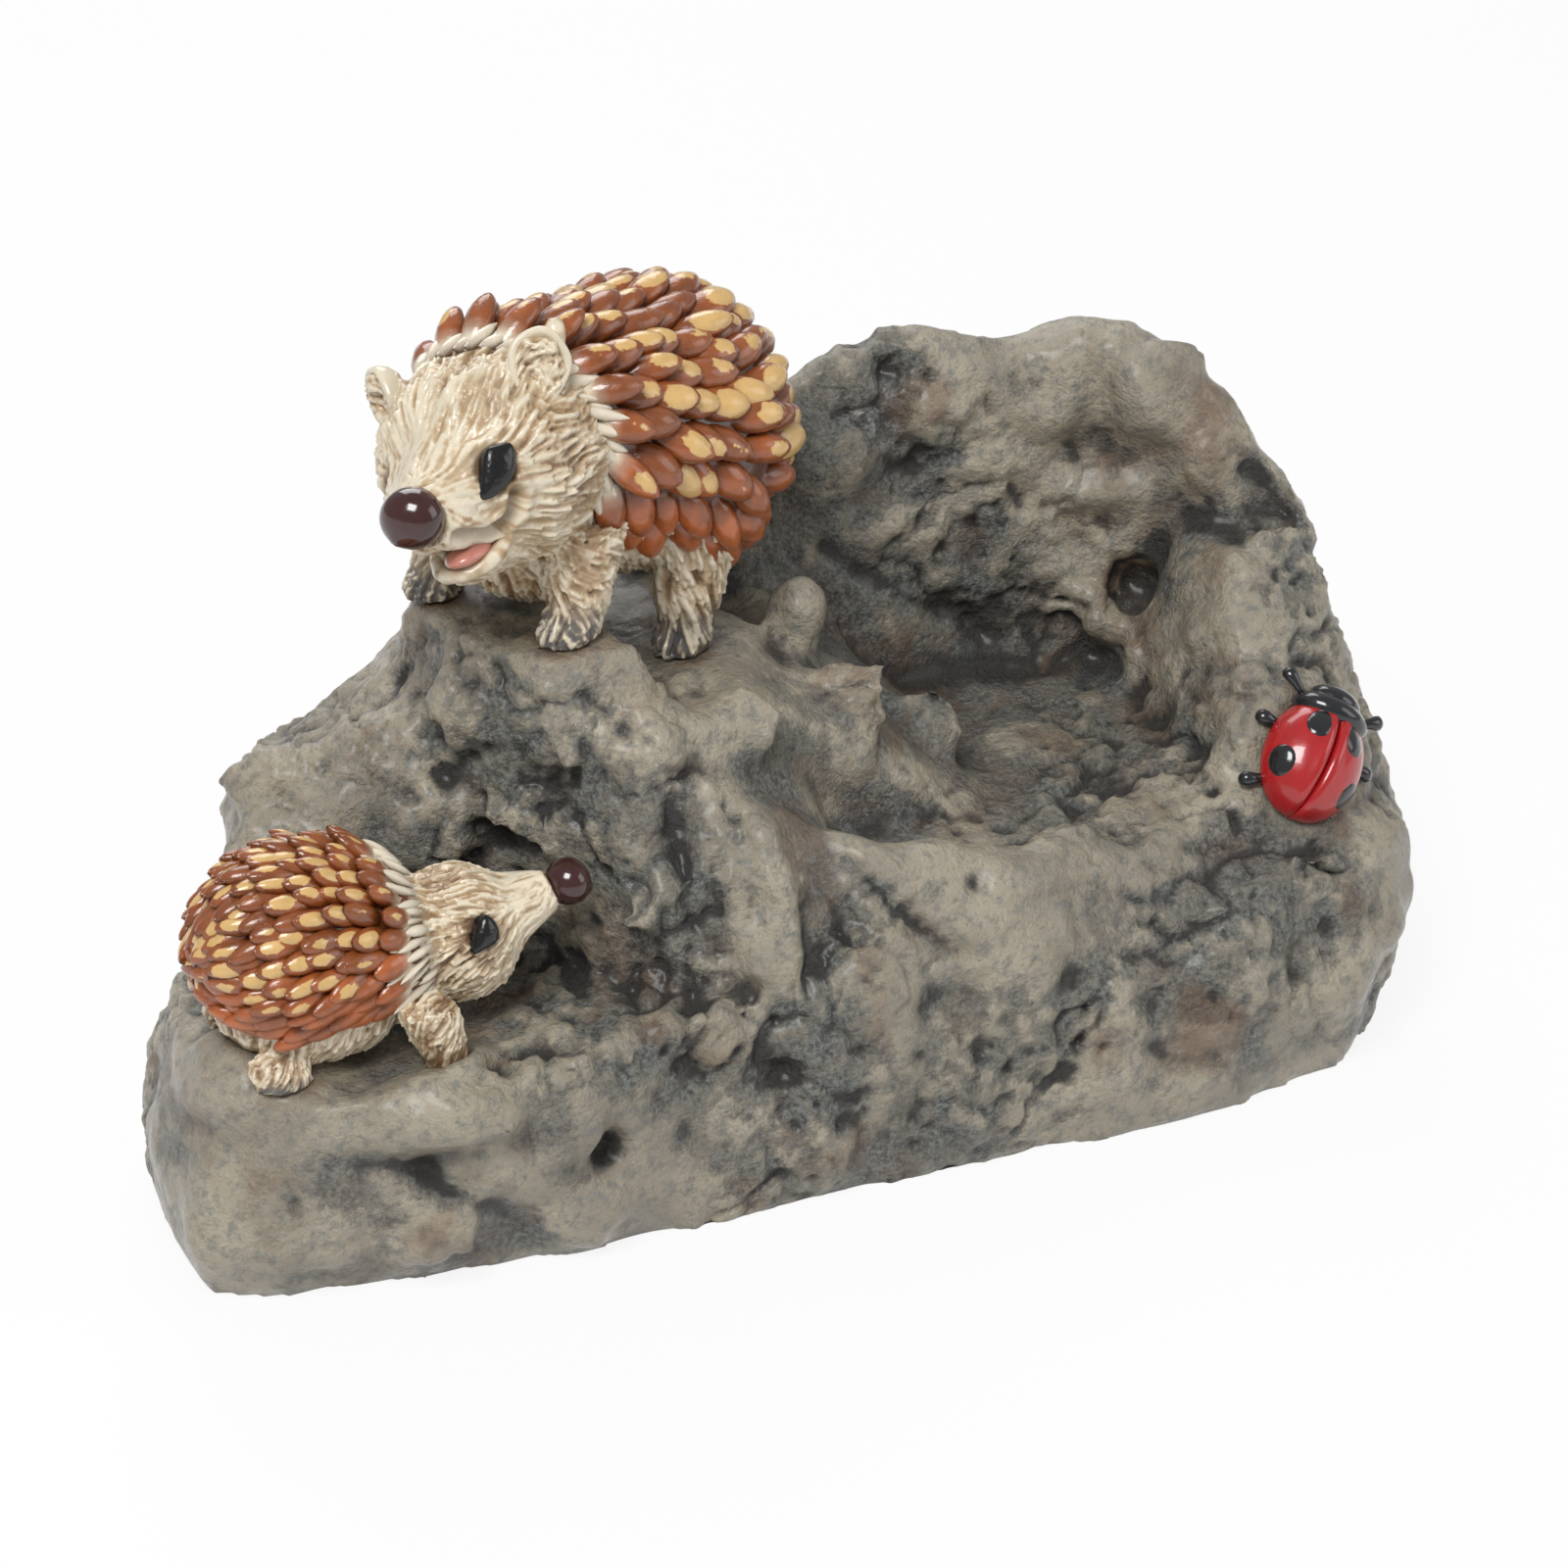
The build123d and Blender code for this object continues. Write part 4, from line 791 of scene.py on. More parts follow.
def carve_fur(piece, settings, head, torso, head_reach, paws, seed, scale, clear_nodes, eyes, mouth):
    """cuts tufts and strokes and records grooves, paws and washed folds for the paint"""
    mesh = piece.data
    points, outward = coordinates(mesh), normals(mesh)
    calm_out = evened(outward, neighbours(mesh), 10)
    calm_out /= np.linalg.norm(calm_out, axis=1)[:, None] + 1e-9
    flow = along_skin(fur_flow(points, head, torso, head_reach, seed), calm_out)
    width = settings.stroke_width * scale
    fine = stroke_field(points, flow, width, 9 * width, seed)
    middle = stroke_field(points, flow, 2.1 * width, 16 * width, seed + 5)
    tufts = lay_tufts(points, calm_out, flow, spacing=1.75 * MM * scale, length=5.4 * MM * scale,
                      width=2.0 * MM * scale, seed=seed)
    near = distances(tree_of(clear_nodes), points, 3 * MM)
    calm = smooth_step(near, 0.1 * MM, 1.2 * MM)
    local = head.local(points) / head_reach
    on_head = np.linalg.norm(local, axis=1) < 2.0
    face = smooth_step(local[:, 0], 0.35, 0.95) * on_head
    short = 1 - 0.85 * face
    move = settings.tuft_depth * scale * (tufts - 0.45) * short
    move += settings.stroke_depth * scale * (1.5 * (fine - 0.5) + 1.4 * (middle - 0.5)) * (1 - 0.62 * face)
    groove = 0.62 * (1 - np.clip(tufts, 0, 1)) * short + 0.62 * (1 - fine) + 0.35 * (1 - middle) - 0.20
    wash = np.zeros(len(points))
    for place, reach in eyes:
        gap = np.linalg.norm(points - place.origin, axis=1) / reach
        move += 0.42 * MM * scale * np.exp(-((gap - 1.32) / 0.30) ** 2)
        wash = np.maximum(wash, 1 - smooth_step(gap, 0.86, 1.18))
        groove += 0.20 * np.exp(-((gap - 1.1) / 0.5) ** 2)
    for corners, reach, depth, tint in mouth:
        gap = line_gap(local, corners) / reach
        move = move * (1 - 0.8 * np.exp(-(gap / 2.2) ** 2))
        move -= depth * MM * scale * np.exp(-gap ** 2)
        move += 0.45 * depth * MM * scale * np.exp(-((gap - 2.0) / 0.9) ** 2)
        wash = np.maximum(wash, tint * np.exp(-(gap * 1.25) ** 2))
    paw_share = np.zeros(len(points))
    for place, half_width, level in paws:
        paw, toes = paw_marks(points, place, half_width, level)
        paw_share = np.maximum(paw_share, paw)
        move = move * (1 - 0.6 * paw)
        move -= 0.75 * MM * scale * toes
        groove = np.maximum(groove, 0.9 * toes)
    # painted shade: grooves are darker where the fur meets the rock, nose, eyes and tongue
    groove = groove + 0.35 * (1 - smooth_step(near, 0.05 * MM, 0.9 * MM))
    set_coordinates(mesh, points + outward * (move * (0.25 + 0.75 * calm))[:, None])
    set_attribute(mesh, "groove", np.clip(groove, 0, 1))
    set_attribute(mesh, "paw", paw_share)
    set_attribute(mesh, "wash", wash)


# Each ear's outline is how far ahead and how far out it reaches, in shares of its radius
EAR_OUTLINE = ((-0.62, 0.0), (-0.60, 0.30), (-0.48, 0.66), (-0.22, 0.90), (0.06, 1.0), (0.22, 1.0),
               (0.30, 0.90), (0.20, 0.78), (-0.02, 0.60), (-0.16, 0.34), (-0.20, 0.0))
EAR_RIM = 7


def cup_ear(place, radius, seed):
    """points, faces and paint values of one soft cupped ear"""
    picker = np.random.default_rng(seed)
    around = 32
    turns = np.arange(around) * 2 * math.pi / around
    wave = 1 + 0.05 * np.sin(2 * turns + picker.uniform(0, 6))
    wave += 0.03 * np.sin(5 * turns + picker.uniform(0, 6))
    points, groove = [], []
    for index, (ahead, reach) in enumerate(EAR_OUTLINE):
        for turn, swell in zip(turns, wave):
            points.append((ahead * radius, reach * radius * swell * math.cos(turn),
                           reach * radius * swell * math.sin(turn) * 1.06))
            # inside the cup the paint is browner: brown paint and painted shade
            groove.append((0.75 if index > EAR_RIM else 0.2) + picker.uniform(-0.1, 0.12))
    return place.world(points), ring_faces(len(EAR_OUTLINE), around), groove


def on_head(head, reach, shares, side):
    """place on a head, given in shares of its reach for the left side"""
    ahead, left, up = shares
    return head.moved(ahead * reach, side * left * reach, up * reach)


def set_ears(name, paint, head, head_reach, radius, shares, node):
    """pair of cupped ears set on a head"""
    points, faces, groove = [], [], []
    for side in (1, -1):
        place = on_head(head, head_reach, shares, side).facing((0.74, 0.66 * side, 0.14))
        ear_points, ear_faces, ear_groove = cup_ear(place.moved(0.08 * radius, 0, 0), radius, 3 + side)
        faces += [tuple(len(points) + index for index in face) for face in ear_faces]
        points += list(ear_points)
        groove += ear_groove
    piece = piece_from(name, points, faces)
    set_attribute(piece.data, "groove", groove)
    finish_piece(piece, paint, "fur", node)


def sweep(name, place, corners, reaches):
    """smooth rod through some corners, in millimetres from a place, with its own reach at each"""
    line, reaches = place.world(np.array(corners) * MM), np.array(reaches) * MM
    steps = np.linspace(0, len(line) - 1, 6 * (len(line) - 1) + 1)
    middle = np.stack([np.interp(steps, np.arange(len(line)), line[:, axis]) for axis in range(3)], axis=1)
    for _ in range(4):
        middle[1:-1] = 0.25 * middle[:-2] + 0.5 * middle[1:-1] + 0.25 * middle[2:]
    run = np.gradient(middle, axis=0)
    run /= np.linalg.norm(run, axis=1)[:, None]
    side = np.cross(run, np.array((0.12, 0.2, 1.0)))
    side /= np.linalg.norm(side, axis=1)[:, None]
    over = np.cross(side, run)
    around = 14
    points = []
    for index, reach in enumerate(np.interp(steps, np.arange(len(line)), reaches)):
        for turn in turns_round(around):
            outward = side[index] * math.cos(turn) + over[index] * math.sin(turn)
            points.append(middle[index] + reach * outward)
    faces = ring_faces(len(steps), around)
    faces.append(tuple(reversed(range(around))))
    faces.append(tuple(range(len(points) - around, len(points))))
    piece = piece_from(name, points, faces)
    mesh = piece.data
    bumps = layered_noise(coordinates(mesh), 1.1 * MM, 17, 2)
    push_out(mesh, (bumps - 0.5) * 0.5 * MM)
    set_attribute(mesh, "groove", np.clip(1.1 - 1.5 * bumps, 0, 1))
    return piece


# Each eye's place in shares of the head's reach, and the direction it looks in, for the left eye
LARGE_EYE = ((0.87, 0.54, 0.14), (0.6, 0.78, 0.12))
SMALL_EYE = ((0.27, 0.84, 0.32), (0.25, 0.93, 0.2))

# Corners of the mouths in shares of the head's reach, left side, and of the lip and ear tuft in millimetres
LARGE_MOUTH = ((1.28, 0.22, -0.20), (1.04, 0.27, -0.31), (0.86, 0.38, -0.32), (0.78, 0.47, -0.25),
               (0.76, 0.56, -0.13))
SMALL_MOUTH = ((1.5, 0.04, -0.30), (1.2, 0.18, -0.36), (0.95, 0.34, -0.40), (0.80, 0.46, -0.34))
LOWER_LIP = ((11.6, 5.6, -6.8), (13.2, 5.1, -8.2), (15.8, 3.8, -9.3), (17.6, 1.6, -9.5), (18.0, 0, -9.4),
             (17.6, -1.6, -9.5), (15.8, -3.8, -9.3), (13.2, -5.1, -8.2), (11.6, -5.6, -6.8))
LOWER_LIP_REACHES = (0.7, 1.0, 1.1, 1.0, 1.0, 1.0, 1.1, 1.0, 0.7)
EAR_TUFT = ((-2.6, 12.6, 11.2), (-3.4, 13.0, 12.8), (-4.2, 13.2, 14.0), (-4.6, 13.2, 14.8))
EAR_TUFT_REACHES = (1.6, 1.5, 1.25, 0.7)


def eye_place(head, reach, eye, side):
    """centre of an eye, facing out of the head"""
    shares, (ahead, left, up) = eye
    return on_head(head, reach, shares, side).facing((ahead, side * left, up))


def eye_pair(head, reach, eye, radius):
    return [(eye_place(head, reach, eye, side), radius) for side in (1, -1)]


def mouth_pair(corners, reach, depth, tint):
    return [(np.array(corners) * (1, side, 1), reach, depth, tint) for side in (1, -1)]


def paw_pair(seat, ahead, side_reach, drop, half_width, level):
    return [(seat.moved(ahead, side * side_reach, drop), half_width, level) for side in (1, -1)]


class ORNAMENT_OT_large_fur(bpy.types.Operator):
    """Carve and paint the fur of the large hedgehog"""
    bl_idname = "ornament.large_fur"
    bl_label = "Large hedgehog fur"

    def execute(self, context):
        settings = context.scene.ornament_fur
        node = "large_hedgehog_body"
        piece = cast_copy("Large_fur", node, voxel=0.9 * MM, smoothing=8, levels=2)
        paws = paw_pair(LARGE_SEAT, 0.0, 0.0115, 0.0, half_width=3.6 * MM, level=7 * MM)
        paws += paw_pair(LARGE_SEAT, -0.02366, 0.0115, -0.011, half_width=3.8 * MM, level=9 * MM)
        clear = ["large_hedgehog_nose", "large_hedgehog_left_eye", "large_hedgehog_right_eye",
                 "large_hedgehog_tongue", "rock_base"]
        carve_fur(piece, settings, LARGE_HEAD, LARGE_TORSO, LARGE_HEAD_REACH, paws, seed=40, scale=1.0,
                  clear_nodes=clear, eyes=eye_pair(LARGE_HEAD, LARGE_HEAD_REACH, LARGE_EYE, 2.9 * MM),
                  mouth=mouth_pair(LARGE_MOUTH, reach=0.060, depth=1.6, tint=1.0))
        paint = fur_paint(settings, "Large_fur_paint", painted_light_factor=1.0)
        finish_piece(piece, paint, "fur", node)
        finish_piece(sweep("Large_lower_lip", LARGE_HEAD, LOWER_LIP, LOWER_LIP_REACHES), paint, "fur", node)
        finish_piece(sweep("Large_ear_tuft", LARGE_HEAD, EAR_TUFT, EAR_TUFT_REACHES), paint, "fur", node)
        set_ears("Large_ears", paint, LARGE_HEAD, LARGE_HEAD_REACH, radius=4.3 * MM,
                 shares=(0.02, 0.75, 0.70), node=node)
        return {"FINISHED"}


class ORNAMENT_OT_small_fur(bpy.types.Operator):
    """Carve and paint the fur of the small hedgehog"""
    bl_idname = "ornament.small_fur"
    bl_label = "Small hedgehog fur"

    def execute(self, context):
        settings = context.scene.ornament_fur
        node = "small_hedgehog_body"
        piece = cast_copy("Small_fur", node, voxel=0.7 * MM, smoothing=8, levels=2)
        paws = paw_pair(SMALL_SEAT, 0.00259, 0.012, -0.00203, half_width=2.5 * MM, level=3.5 * MM)
        paws += paw_pair(SMALL_SEAT, -0.01946, 0.00864, 0.0, half_width=2.6 * MM, level=2.5 * MM)
        clear = ["small_hedgehog_nose", "small_hedgehog_left_eye", "small_hedgehog_right_eye", "rock_base"]
        carve_fur(piece, settings, SMALL_HEAD, SMALL_TORSO, SMALL_HEAD_REACH, paws, seed=60, scale=0.72,
                  clear_nodes=clear, eyes=eye_pair(SMALL_HEAD, SMALL_HEAD_REACH, SMALL_EYE, 2.2 * MM),
                  mouth=mouth_pair(SMALL_MOUTH, reach=0.05, depth=0.7, tint=0.8))
        # painted light: a lighter copy of the cream that makes up for the small hedgehog's shade away from
        # the key lamp
        paint = fur_paint(settings, "Small_fur_paint_with_painted_light", painted_light_factor=1.14)
        finish_piece(piece, paint, "fur", node)
        set_ears("Small_ears", paint, SMALL_HEAD, SMALL_HEAD_REACH, radius=2.3 * MM,
                 shares=(-0.95, 0.86, 0.80), node=node)
        return {"FINISHED"}


# The quill coats

class Coat:
    """Rings that run from a hood behind the face to the tail"""

    first_turn, last_turn = math.radians(85), math.radians(172)

    def __init__(self, torso, reach, hood, hood_reach, hood_share, belly):
        self.torso, self.reach, self.hood, self.hood_reach = torso, reach, hood, hood_reach
        self.hood_share, self.belly = hood_share, belly

    def ring(self, share):
        """centre, directions and reach of the ring at a share of the coat's length"""
        if share < self.hood_share:
            part = share / self.hood_share
            first_centre = self.torso.world((self.reach * math.cos(self.first_turn), 0, 0))
            centre = self.hood.origin * (1 - part) + first_centre * part
            directions = self.hood.directions * (1 - part) + self.torso.directions * part
            reach = self.hood_reach * (1 - part) + self.reach * math.sin(self.first_turn) * part
            return centre, directions, reach
        part = (share - self.hood_share) / (1 - self.hood_share)
        turn = self.first_turn + (self.last_turn - self.first_turn) * part
        centre = self.torso.world((self.reach * math.cos(turn), 0, 0))
        return centre, self.torso.directions, self.reach * math.sin(turn)

    def spot(self, share, side_turn):
        """point on the coat, some way round from the top of a ring"""
        centre, (forward, _, up), reach = self.ring(share)
        left = np.cross(up, forward)
        return centre + (up * math.cos(side_turn) + left * math.sin(side_turn)) * reach

    def directions(self, share, side_turn, step=0.02):
        """backward and outward directions at a spot of the coat"""
        backward = unit(self.spot(share + step, side_turn) - self.spot(share - step, side_turn))
        across = self.spot(share, side_turn + step) - self.spot(share, side_turn - step)
        return backward, unit(np.cross(across, backward))


LARGE_COAT = Coat(LARGE_TORSO, reach=0.0204, hood=LARGE_HEAD.moved(-0.00465, 0, 0), hood_reach=0.01519,
                  hood_share=0.46, belly=Place(LARGE_TORSO.world((0, 0, -0.01387)), axes(208, 22)))
SMALL_COAT = Coat(SMALL_TORSO, reach=0.0130, hood=SMALL_TORSO.moved(0.01365, 0, -0.0013), hood_reach=0.01118,
                  hood_share=0.40, belly=Place(SMALL_TORSO.world((0, 0, -0.0078)), axes(0, 8)))

TUFT_ROWS = 2

# Share of the length and share of the width along a quill
QUILL_OUTLINE = ((0.0, 0.55), (0.12, 0.78), (0.28, 0.95), (0.46, 1.0), (0.62, 0.96), (0.76, 0.82),
                 (0.87, 0.62), (0.95, 0.38), (1.0, 0.12))


def quill_shape(length, width, thickness, bend, blunt):
    """points of one plump quill along +X, with its share of the length for each point, and faces"""
    around = 10
    points, along = [], []
    for share, reach in QUILL_OUTLINE:
        reach = reach ** (1 - 0.45 * blunt)
        lift = bend * length * share * share
        for turn in turns_round(around):
            up = math.cos(turn)
            keel = 1.0 + 0.14 * max(up, 0.0) ** 2
            points.append((share * length, 0.5 * width * reach * math.sin(turn),
                           0.5 * thickness * reach * up * keel + lift))
            along.append(share)
    faces = ring_faces(len(QUILL_OUTLINE), around, flipped=True)
    faces.append(tuple(range(len(points) - around, len(points))))
    faces.append(tuple(reversed(range(around))))
    return np.array(points), np.array(along), faces


def coat_skin(coat, width):
    """points and faces of the skin under the quills, open along the belly"""
    rings, around = 29, 72
    points = []
    for ring in range(rings):
        share = 0.02 + 0.98 * ring / (rings - 1)
        for turn in turns_round(around):
            points.append(coat.spot(share, turn) - coat.directions(share, turn)[1] * 0.16 * width)
    heights = coat.belly.local(points)[:, 2]
    faces = ring_faces(rings, around, flipped=True)
    return np.array(points), [face for face in faces if min(heights[index] for index in face) > 0]


def quill_heading(backward, outward, droop, sway):
    """direction along the skin, part of the way down and swayed by a small angle"""
    down = np.array((0, 0, -1.0)) + outward * outward[2]
    down /= np.linalg.norm(down) + 1e-9
    heading = backward * (1 - droop) + down * droop
    heading = unit(heading - outward * (heading @ outward))
    return heading * math.cos(sway) + np.cross(outward, heading) * math.sin(sway)


def raised_directions(heading, outward, degrees):
    """ahead, sideways and up directions of a quill that is raised off the skin"""
    raised = math.radians(degrees)
    ahead = heading * math.cos(raised) + outward * math.sin(raised)
    up = outward * math.cos(raised) - heading * math.sin(raised)
    return ahead, np.cross(up, ahead), up


def build_coat(name, coat, length, width, rows, around, lift, ochre_level, crown, start_share, blunt, fall,
               seed):
    """skin and staggered rings of quills over cream tufts, with the paint values for each point"""
    picker = np.random.default_rng(seed)
    points, faces, values = [], [], {key: [] for key in ("ochre", "russet", "cream", "root")}
    count = 0

    def store(new_points, new_faces, **new_values):
        nonlocal count
        points.append(new_points)
        faces.extend(tuple(index + count for index in face) for face in new_faces)
        for key in values:
            values[key].append(np.broadcast_to(new_values.get(key, 0.0), len(new_points)))
        count += len(new_points)

    # the skin under the quills is painted dark: painted shade in the gaps between the quills
    store(*coat_skin(coat, width), root=1.0)
    row_share = 1.0 / (rows - 1)
    for row in range(-TUFT_ROWS, rows):
        share = start_share + (1 - start_share) * max(0, row) * row_share
        tuft = row < 0
        _, _, reach = coat.ring(share)
        ring = max(5, round(around * reach / coat.reach * (1.9 if tuft else 1.0)))
        for step in range(ring):
            side = 2 * math.pi * (step + 0.5 * (row % 2)) / ring - math.pi
            jitter = picker.normal(0, 1, 8)
            side += 0.10 * jitter[1] / ring * 2
            place = min(max(share + 0.10 * jitter[0] * row_share, 0.0), 1.0)
            spot = coat.spot(place, side)
            belly_level = (0.10 if tuft else 0.045) * coat.reach
            if coat.belly.local(spot)[2] < belly_level:
                continue
            backward, outward = coat.directions(place, side)
            if tuft:
                forward_share = 0.16 if row == -1 else 0.44
                spot = spot - backward * forward_share * length + outward * 0.06 * width
            low = 1 - float(smooth_step(coat.belly.local(spot)[2] / coat.reach, 0.25, 1.0))
            heading = quill_heading(backward, outward, fall * low * (1 - place), 0.10 * jitter[2])
            if tuft:
                raised = 9 + 5 * jitter[3] + 10 * (1 - low)
            else:
                raised = lift + 3.0 * jitter[3] + 24 * max(0.0, 1 - 3 * place) * (1 - low) - 5 * low
            ahead, sideways, up = raised_directions(heading, outward, raised)
            size = 1 + 0.07 * jitter[4]
            if tuft:
                tuft_length = (0.66 + 0.20 * low) * length * size * (1 + 0.12 * jitter[7])
                shape, along, quill_faces = quill_shape(tuft_length, 0.36 * width * (1 + 0.15 * jitter[5]),
                                                        0.36 * width, bend=0.04, blunt=-0.8)
            else:
                shape, along, quill_faces = quill_shape(length * size, width * (1 + 0.08 * jitter[5]),
                                                        0.72 * width, bend=-0.06, blunt=blunt)
            root = spot - outward * 0.40 * width
            local = root + shape[:, :1] * ahead + shape[:, 1:2] * sideways + shape[:, 2:] * up
            height = np.clip(shape[:, 2] / (0.36 * width), -1, 1)
            cover = ochre_level + 0.11 * jitter[6] - 0.50 * smooth_step(np.array(low), 0.35, 0.9)
            cover -= 0.12 * (row == 0)
            edge = 0.5 + 2.0 * (along - (1 - cover)) + crown * (height - 0.55)
            edge += 0.25 * shape[:, 1] / width * jitter[7] - 0.5 * smooth_step(along, 0.92, 1.0)
            # root darkens the base and the underside of each quill: dark wash with painted shade
            store(local, quill_faces,
                  ochre=0.0 if tuft else np.clip(edge, 0, 1),
                  russet=np.clip(0.15 + 0.85 * low + 0.15 * jitter[6], 0, 1),
                  cream=1.0 if tuft else (row == 0) * (1 - smooth_step(along, 0.16, 0.34)),
                  root=(0.55 if tuft else 0.85) * np.clip(1 - along / 0.42, 0, 1) * (row != 0)
                  + 0.55 * np.clip(0.35 - height, 0, 1))
    piece = piece_from(name, np.concatenate(points), faces)
    for key in values:
        set_attribute(piece.data, key, np.concatenate(values[key]))
    return piece


class ORNAMENT_OT_quills(bpy.types.Operator):
    """Set and paint the quill coats of both hedgehogs"""
    bl_idname = "ornament.quills"
    bl_label = "Quill coats"

    def execute(self, context):
        settings = context.scene.ornament_quills
        large = build_coat("Large_quills", LARGE_COAT, settings.large_length, 0.555 * settings.large_length,
                           settings.large_rows, around=27, lift=22.0, ochre_level=0.27, crown=1.05,
                           start_share=0.0, blunt=0.05, fall=0.85, seed=15)
        small = build_coat("Small_quills", SMALL_COAT, settings.small_length, 0.47 * settings.small_length,
                           settings.small_rows, around=32, lift=16.0, ochre_level=0.25, crown=1.35,
                           start_share=0.06, blunt=0.05, fall=0.35, seed=6)
        for piece, label in ((large, "large"), (small, "small")):
            paint = quill_paint(settings, f"{label.capitalize()}_quill_paint")
            finish_piece(piece, paint, "quills", f"{label}_hedgehog_quill_coat")
        return {"FINISHED"}


# Noses, eyes and tongue

def egg(name, place, half_sizes, squeeze=0.0, flat_below=0.0):
    """smooth egg along the place's forward direction"""
    rings, around = 19, 28
    points = []
    for ring in range(rings):
        back = math.pi * ring / (rings - 1)
        for turn in turns_round(around):
            ahead = math.cos(back)
            reach = math.sin(back) * (1 - squeeze * ahead)
            up = math.sin(turn)
            points.append((half_sizes[0] * ahead, half_sizes[1] * reach * math.cos(turn),
                           half_sizes[2] * reach * up * (1 - flat_below * (up < 0))))
    return piece_from(name, place.world(points), ring_faces(rings, around))


def rounded_outline(corners, around):
    """points on a smooth closed line through some corners"""
    corners = np.array(corners, float)
    outline = []
    for step in range(around):
        share = step / around * len(corners)
        index, part = int(share), share - int(share)
        a, b, c, d = (corners[(index + turn) % len(corners)] for turn in (-1, 0, 1, 2))
        outline.append(0.5 * ((2 * b) + (c - a) * part + (2 * a - 5 * b + 4 * c - d) * part ** 2
                              + (3 * b - a - 3 * c + d) * part ** 3))
    return outline


def almond(name, place, corners, rise, skirt):
    """glossy dome over a pointed outline, facing along the place's forward direction"""
    around, rings = 40, 9
    outline = rounded_outline(corners, around)
    points = [(-skirt, *corner) for corner in outline]
    for ring in range(rings):
        share = math.cos(0.5 * math.pi * ring / rings)
        height = rise * math.sin(0.5 * math.pi * ring / rings) ** 0.9
        points += [(height, share * corner[0], share * corner[1]) for corner in outline]
    points.append((rise, 0.0, 0.0))
    faces = ring_faces(rings + 1, around)
    top = len(points) - 1
    last = rings * around
    faces += [(last + step, last + (step + 1) % around, top) for step in range(around)]
    return piece_from(name, place.world(points), faces)


# Outlines of the eyes in millimetres, forward and up from their middle
LARGE_EYE_CORNERS = ((0.5, 2.7), (-1.4, 2.7), (-3.0, 2.2), (-2.9, 0.5), (-1.7, -1.6), (0.6, -2.8),
                     (2.5, -3.1), (3.7, -2.4), (2.3, 0.3))
SMALL_EYE_CORNERS = ((-2.5, -1.3), (-1.5, 0.5), (0.1, 1.9), (1.1, 2.1), (1.8, 0.9), (1.7, -0.6),
                     (0.8, -1.6), (-0.8, -1.6))
NOSTRIL = (0.72, 0.42, -0.42)


def nose_piece(label, place, radius):
    """ball nose with two shallow nostrils"""
    half_sizes = (0.98 * radius, 1.05 * radius, 0.98 * radius)
    nose = egg(label.capitalize() + "_nose", place, half_sizes, squeeze=-0.1)
    mesh = nose.data
    local = place.local(coordinates(mesh)) / radius
    dent = np.zeros(len(local))
    for side in (1, -1):
        gap = np.linalg.norm(local - np.array(NOSTRIL) * (1, side, 1), axis=1)
        dent += np.exp(-(gap / 0.2) ** 2)
    push_out(mesh, -0.10 * radius * dent)
    return nose


class ORNAMENT_OT_faces(bpy.types.Operator):
    """Set the noses, eyes and tongue"""
    bl_idname = "ornament.faces"
    bl_label = "Noses, eyes and tongue"

    def execute(self, context):
        settings = context.scene.ornament_gloss
        nose_paint = gloss_paint("Nose_paint", settings.nose)
        eye_paint = gloss_paint("Eye_paint", settings.eye, roughness=0.22, mottle=0.1, coat=0.15,
                                unevenness=0.5)
        tongue_paint = gloss_paint("Tongue_paint", settings.tongue, roughness=0.2, mottle=0.4)
        for label, head, ahead, radius in (("large", LARGE_HEAD.moved(-0.0009, 0, 0.0008), 0.02325, 0.0041),
                                           ("small", SMALL_HEAD, 0.01618, 0.0032)):
            nose = nose_piece(label, head.moved(ahead, 0, 0), radius)
            finish_piece(nose, nose_paint, "nose", f"{label}_hedgehog_nose")
        for label, head, reach, eye, corners, scale in (
                ("large", LARGE_HEAD, LARGE_HEAD_REACH, LARGE_EYE, LARGE_EYE_CORNERS, 1.0),
                ("small", SMALL_HEAD, SMALL_HEAD_REACH, SMALL_EYE, SMALL_EYE_CORNERS, 1.08)):
            for side, side_name in ((1, "left"), (-1, "right")):
                flat = [(-side * ahead * scale * MM, up * scale * MM) for ahead, up in corners]
                sunk = -1.7 * MM if label == "large" and side < 0 else 0.6 * MM
                dome = almond(f"{label.capitalize()}_{side_name}_eye",
                              eye_place(head, reach, eye, side).moved(sunk, 0, 0), flat,
                              rise=1.15 * scale * MM, skirt=1.2 * MM)
                finish_piece(dome, eye_paint, "eye", f"{label}_hedgehog_{side_name}_eye")
        low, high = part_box("large_hedgehog_tongue")
        middle = Place((np.array(low) + np.array(high)) / 2, LARGE_HEAD.directions)
        tongue = egg("Tongue", middle.moved(-0.6 * MM, 1.3 * MM, 0.4 * MM), (0.0050, 0.0029, 0.0013),
                     squeeze=-0.1)
        finish_piece(tongue, tongue_paint, "tongue", "large_hedgehog_tongue")
        return {"FINISHED"}


# The ladybird

BEETLE_LENGTH = 0.0175
BEETLE_WIDTH = 0.015
BEETLE_HEIGHT = 0.0066
BEETLE_BELLY = 0.001
SEAM_HALF_WIDTH = 0.00004

# Each row of spots is a share of the length ahead and degrees from the top
SPOT_ROWS = ((0.14, 28), (-0.28, 57))
SPOT_RADIUS = 0.00225

# Each pair of legs is a share of the length ahead and degrees from straight ahead
LEG_PAIRS = ((0.22, 58), (0.04, 88), (-0.22, 120))

# Each ring of a leg is how far out in shares of the width, how thick and how high
LEG_RINGS = ((0.30, 0.55, 0.30), (0.42, 0.65, 0.34), (0.50, 0.85, 0.32), (0.56, 1.10, 0.28),
             (0.61, 1.15, 0.20), (0.645, 0.75, 0.14), (0.655, 0.15, 0.10))


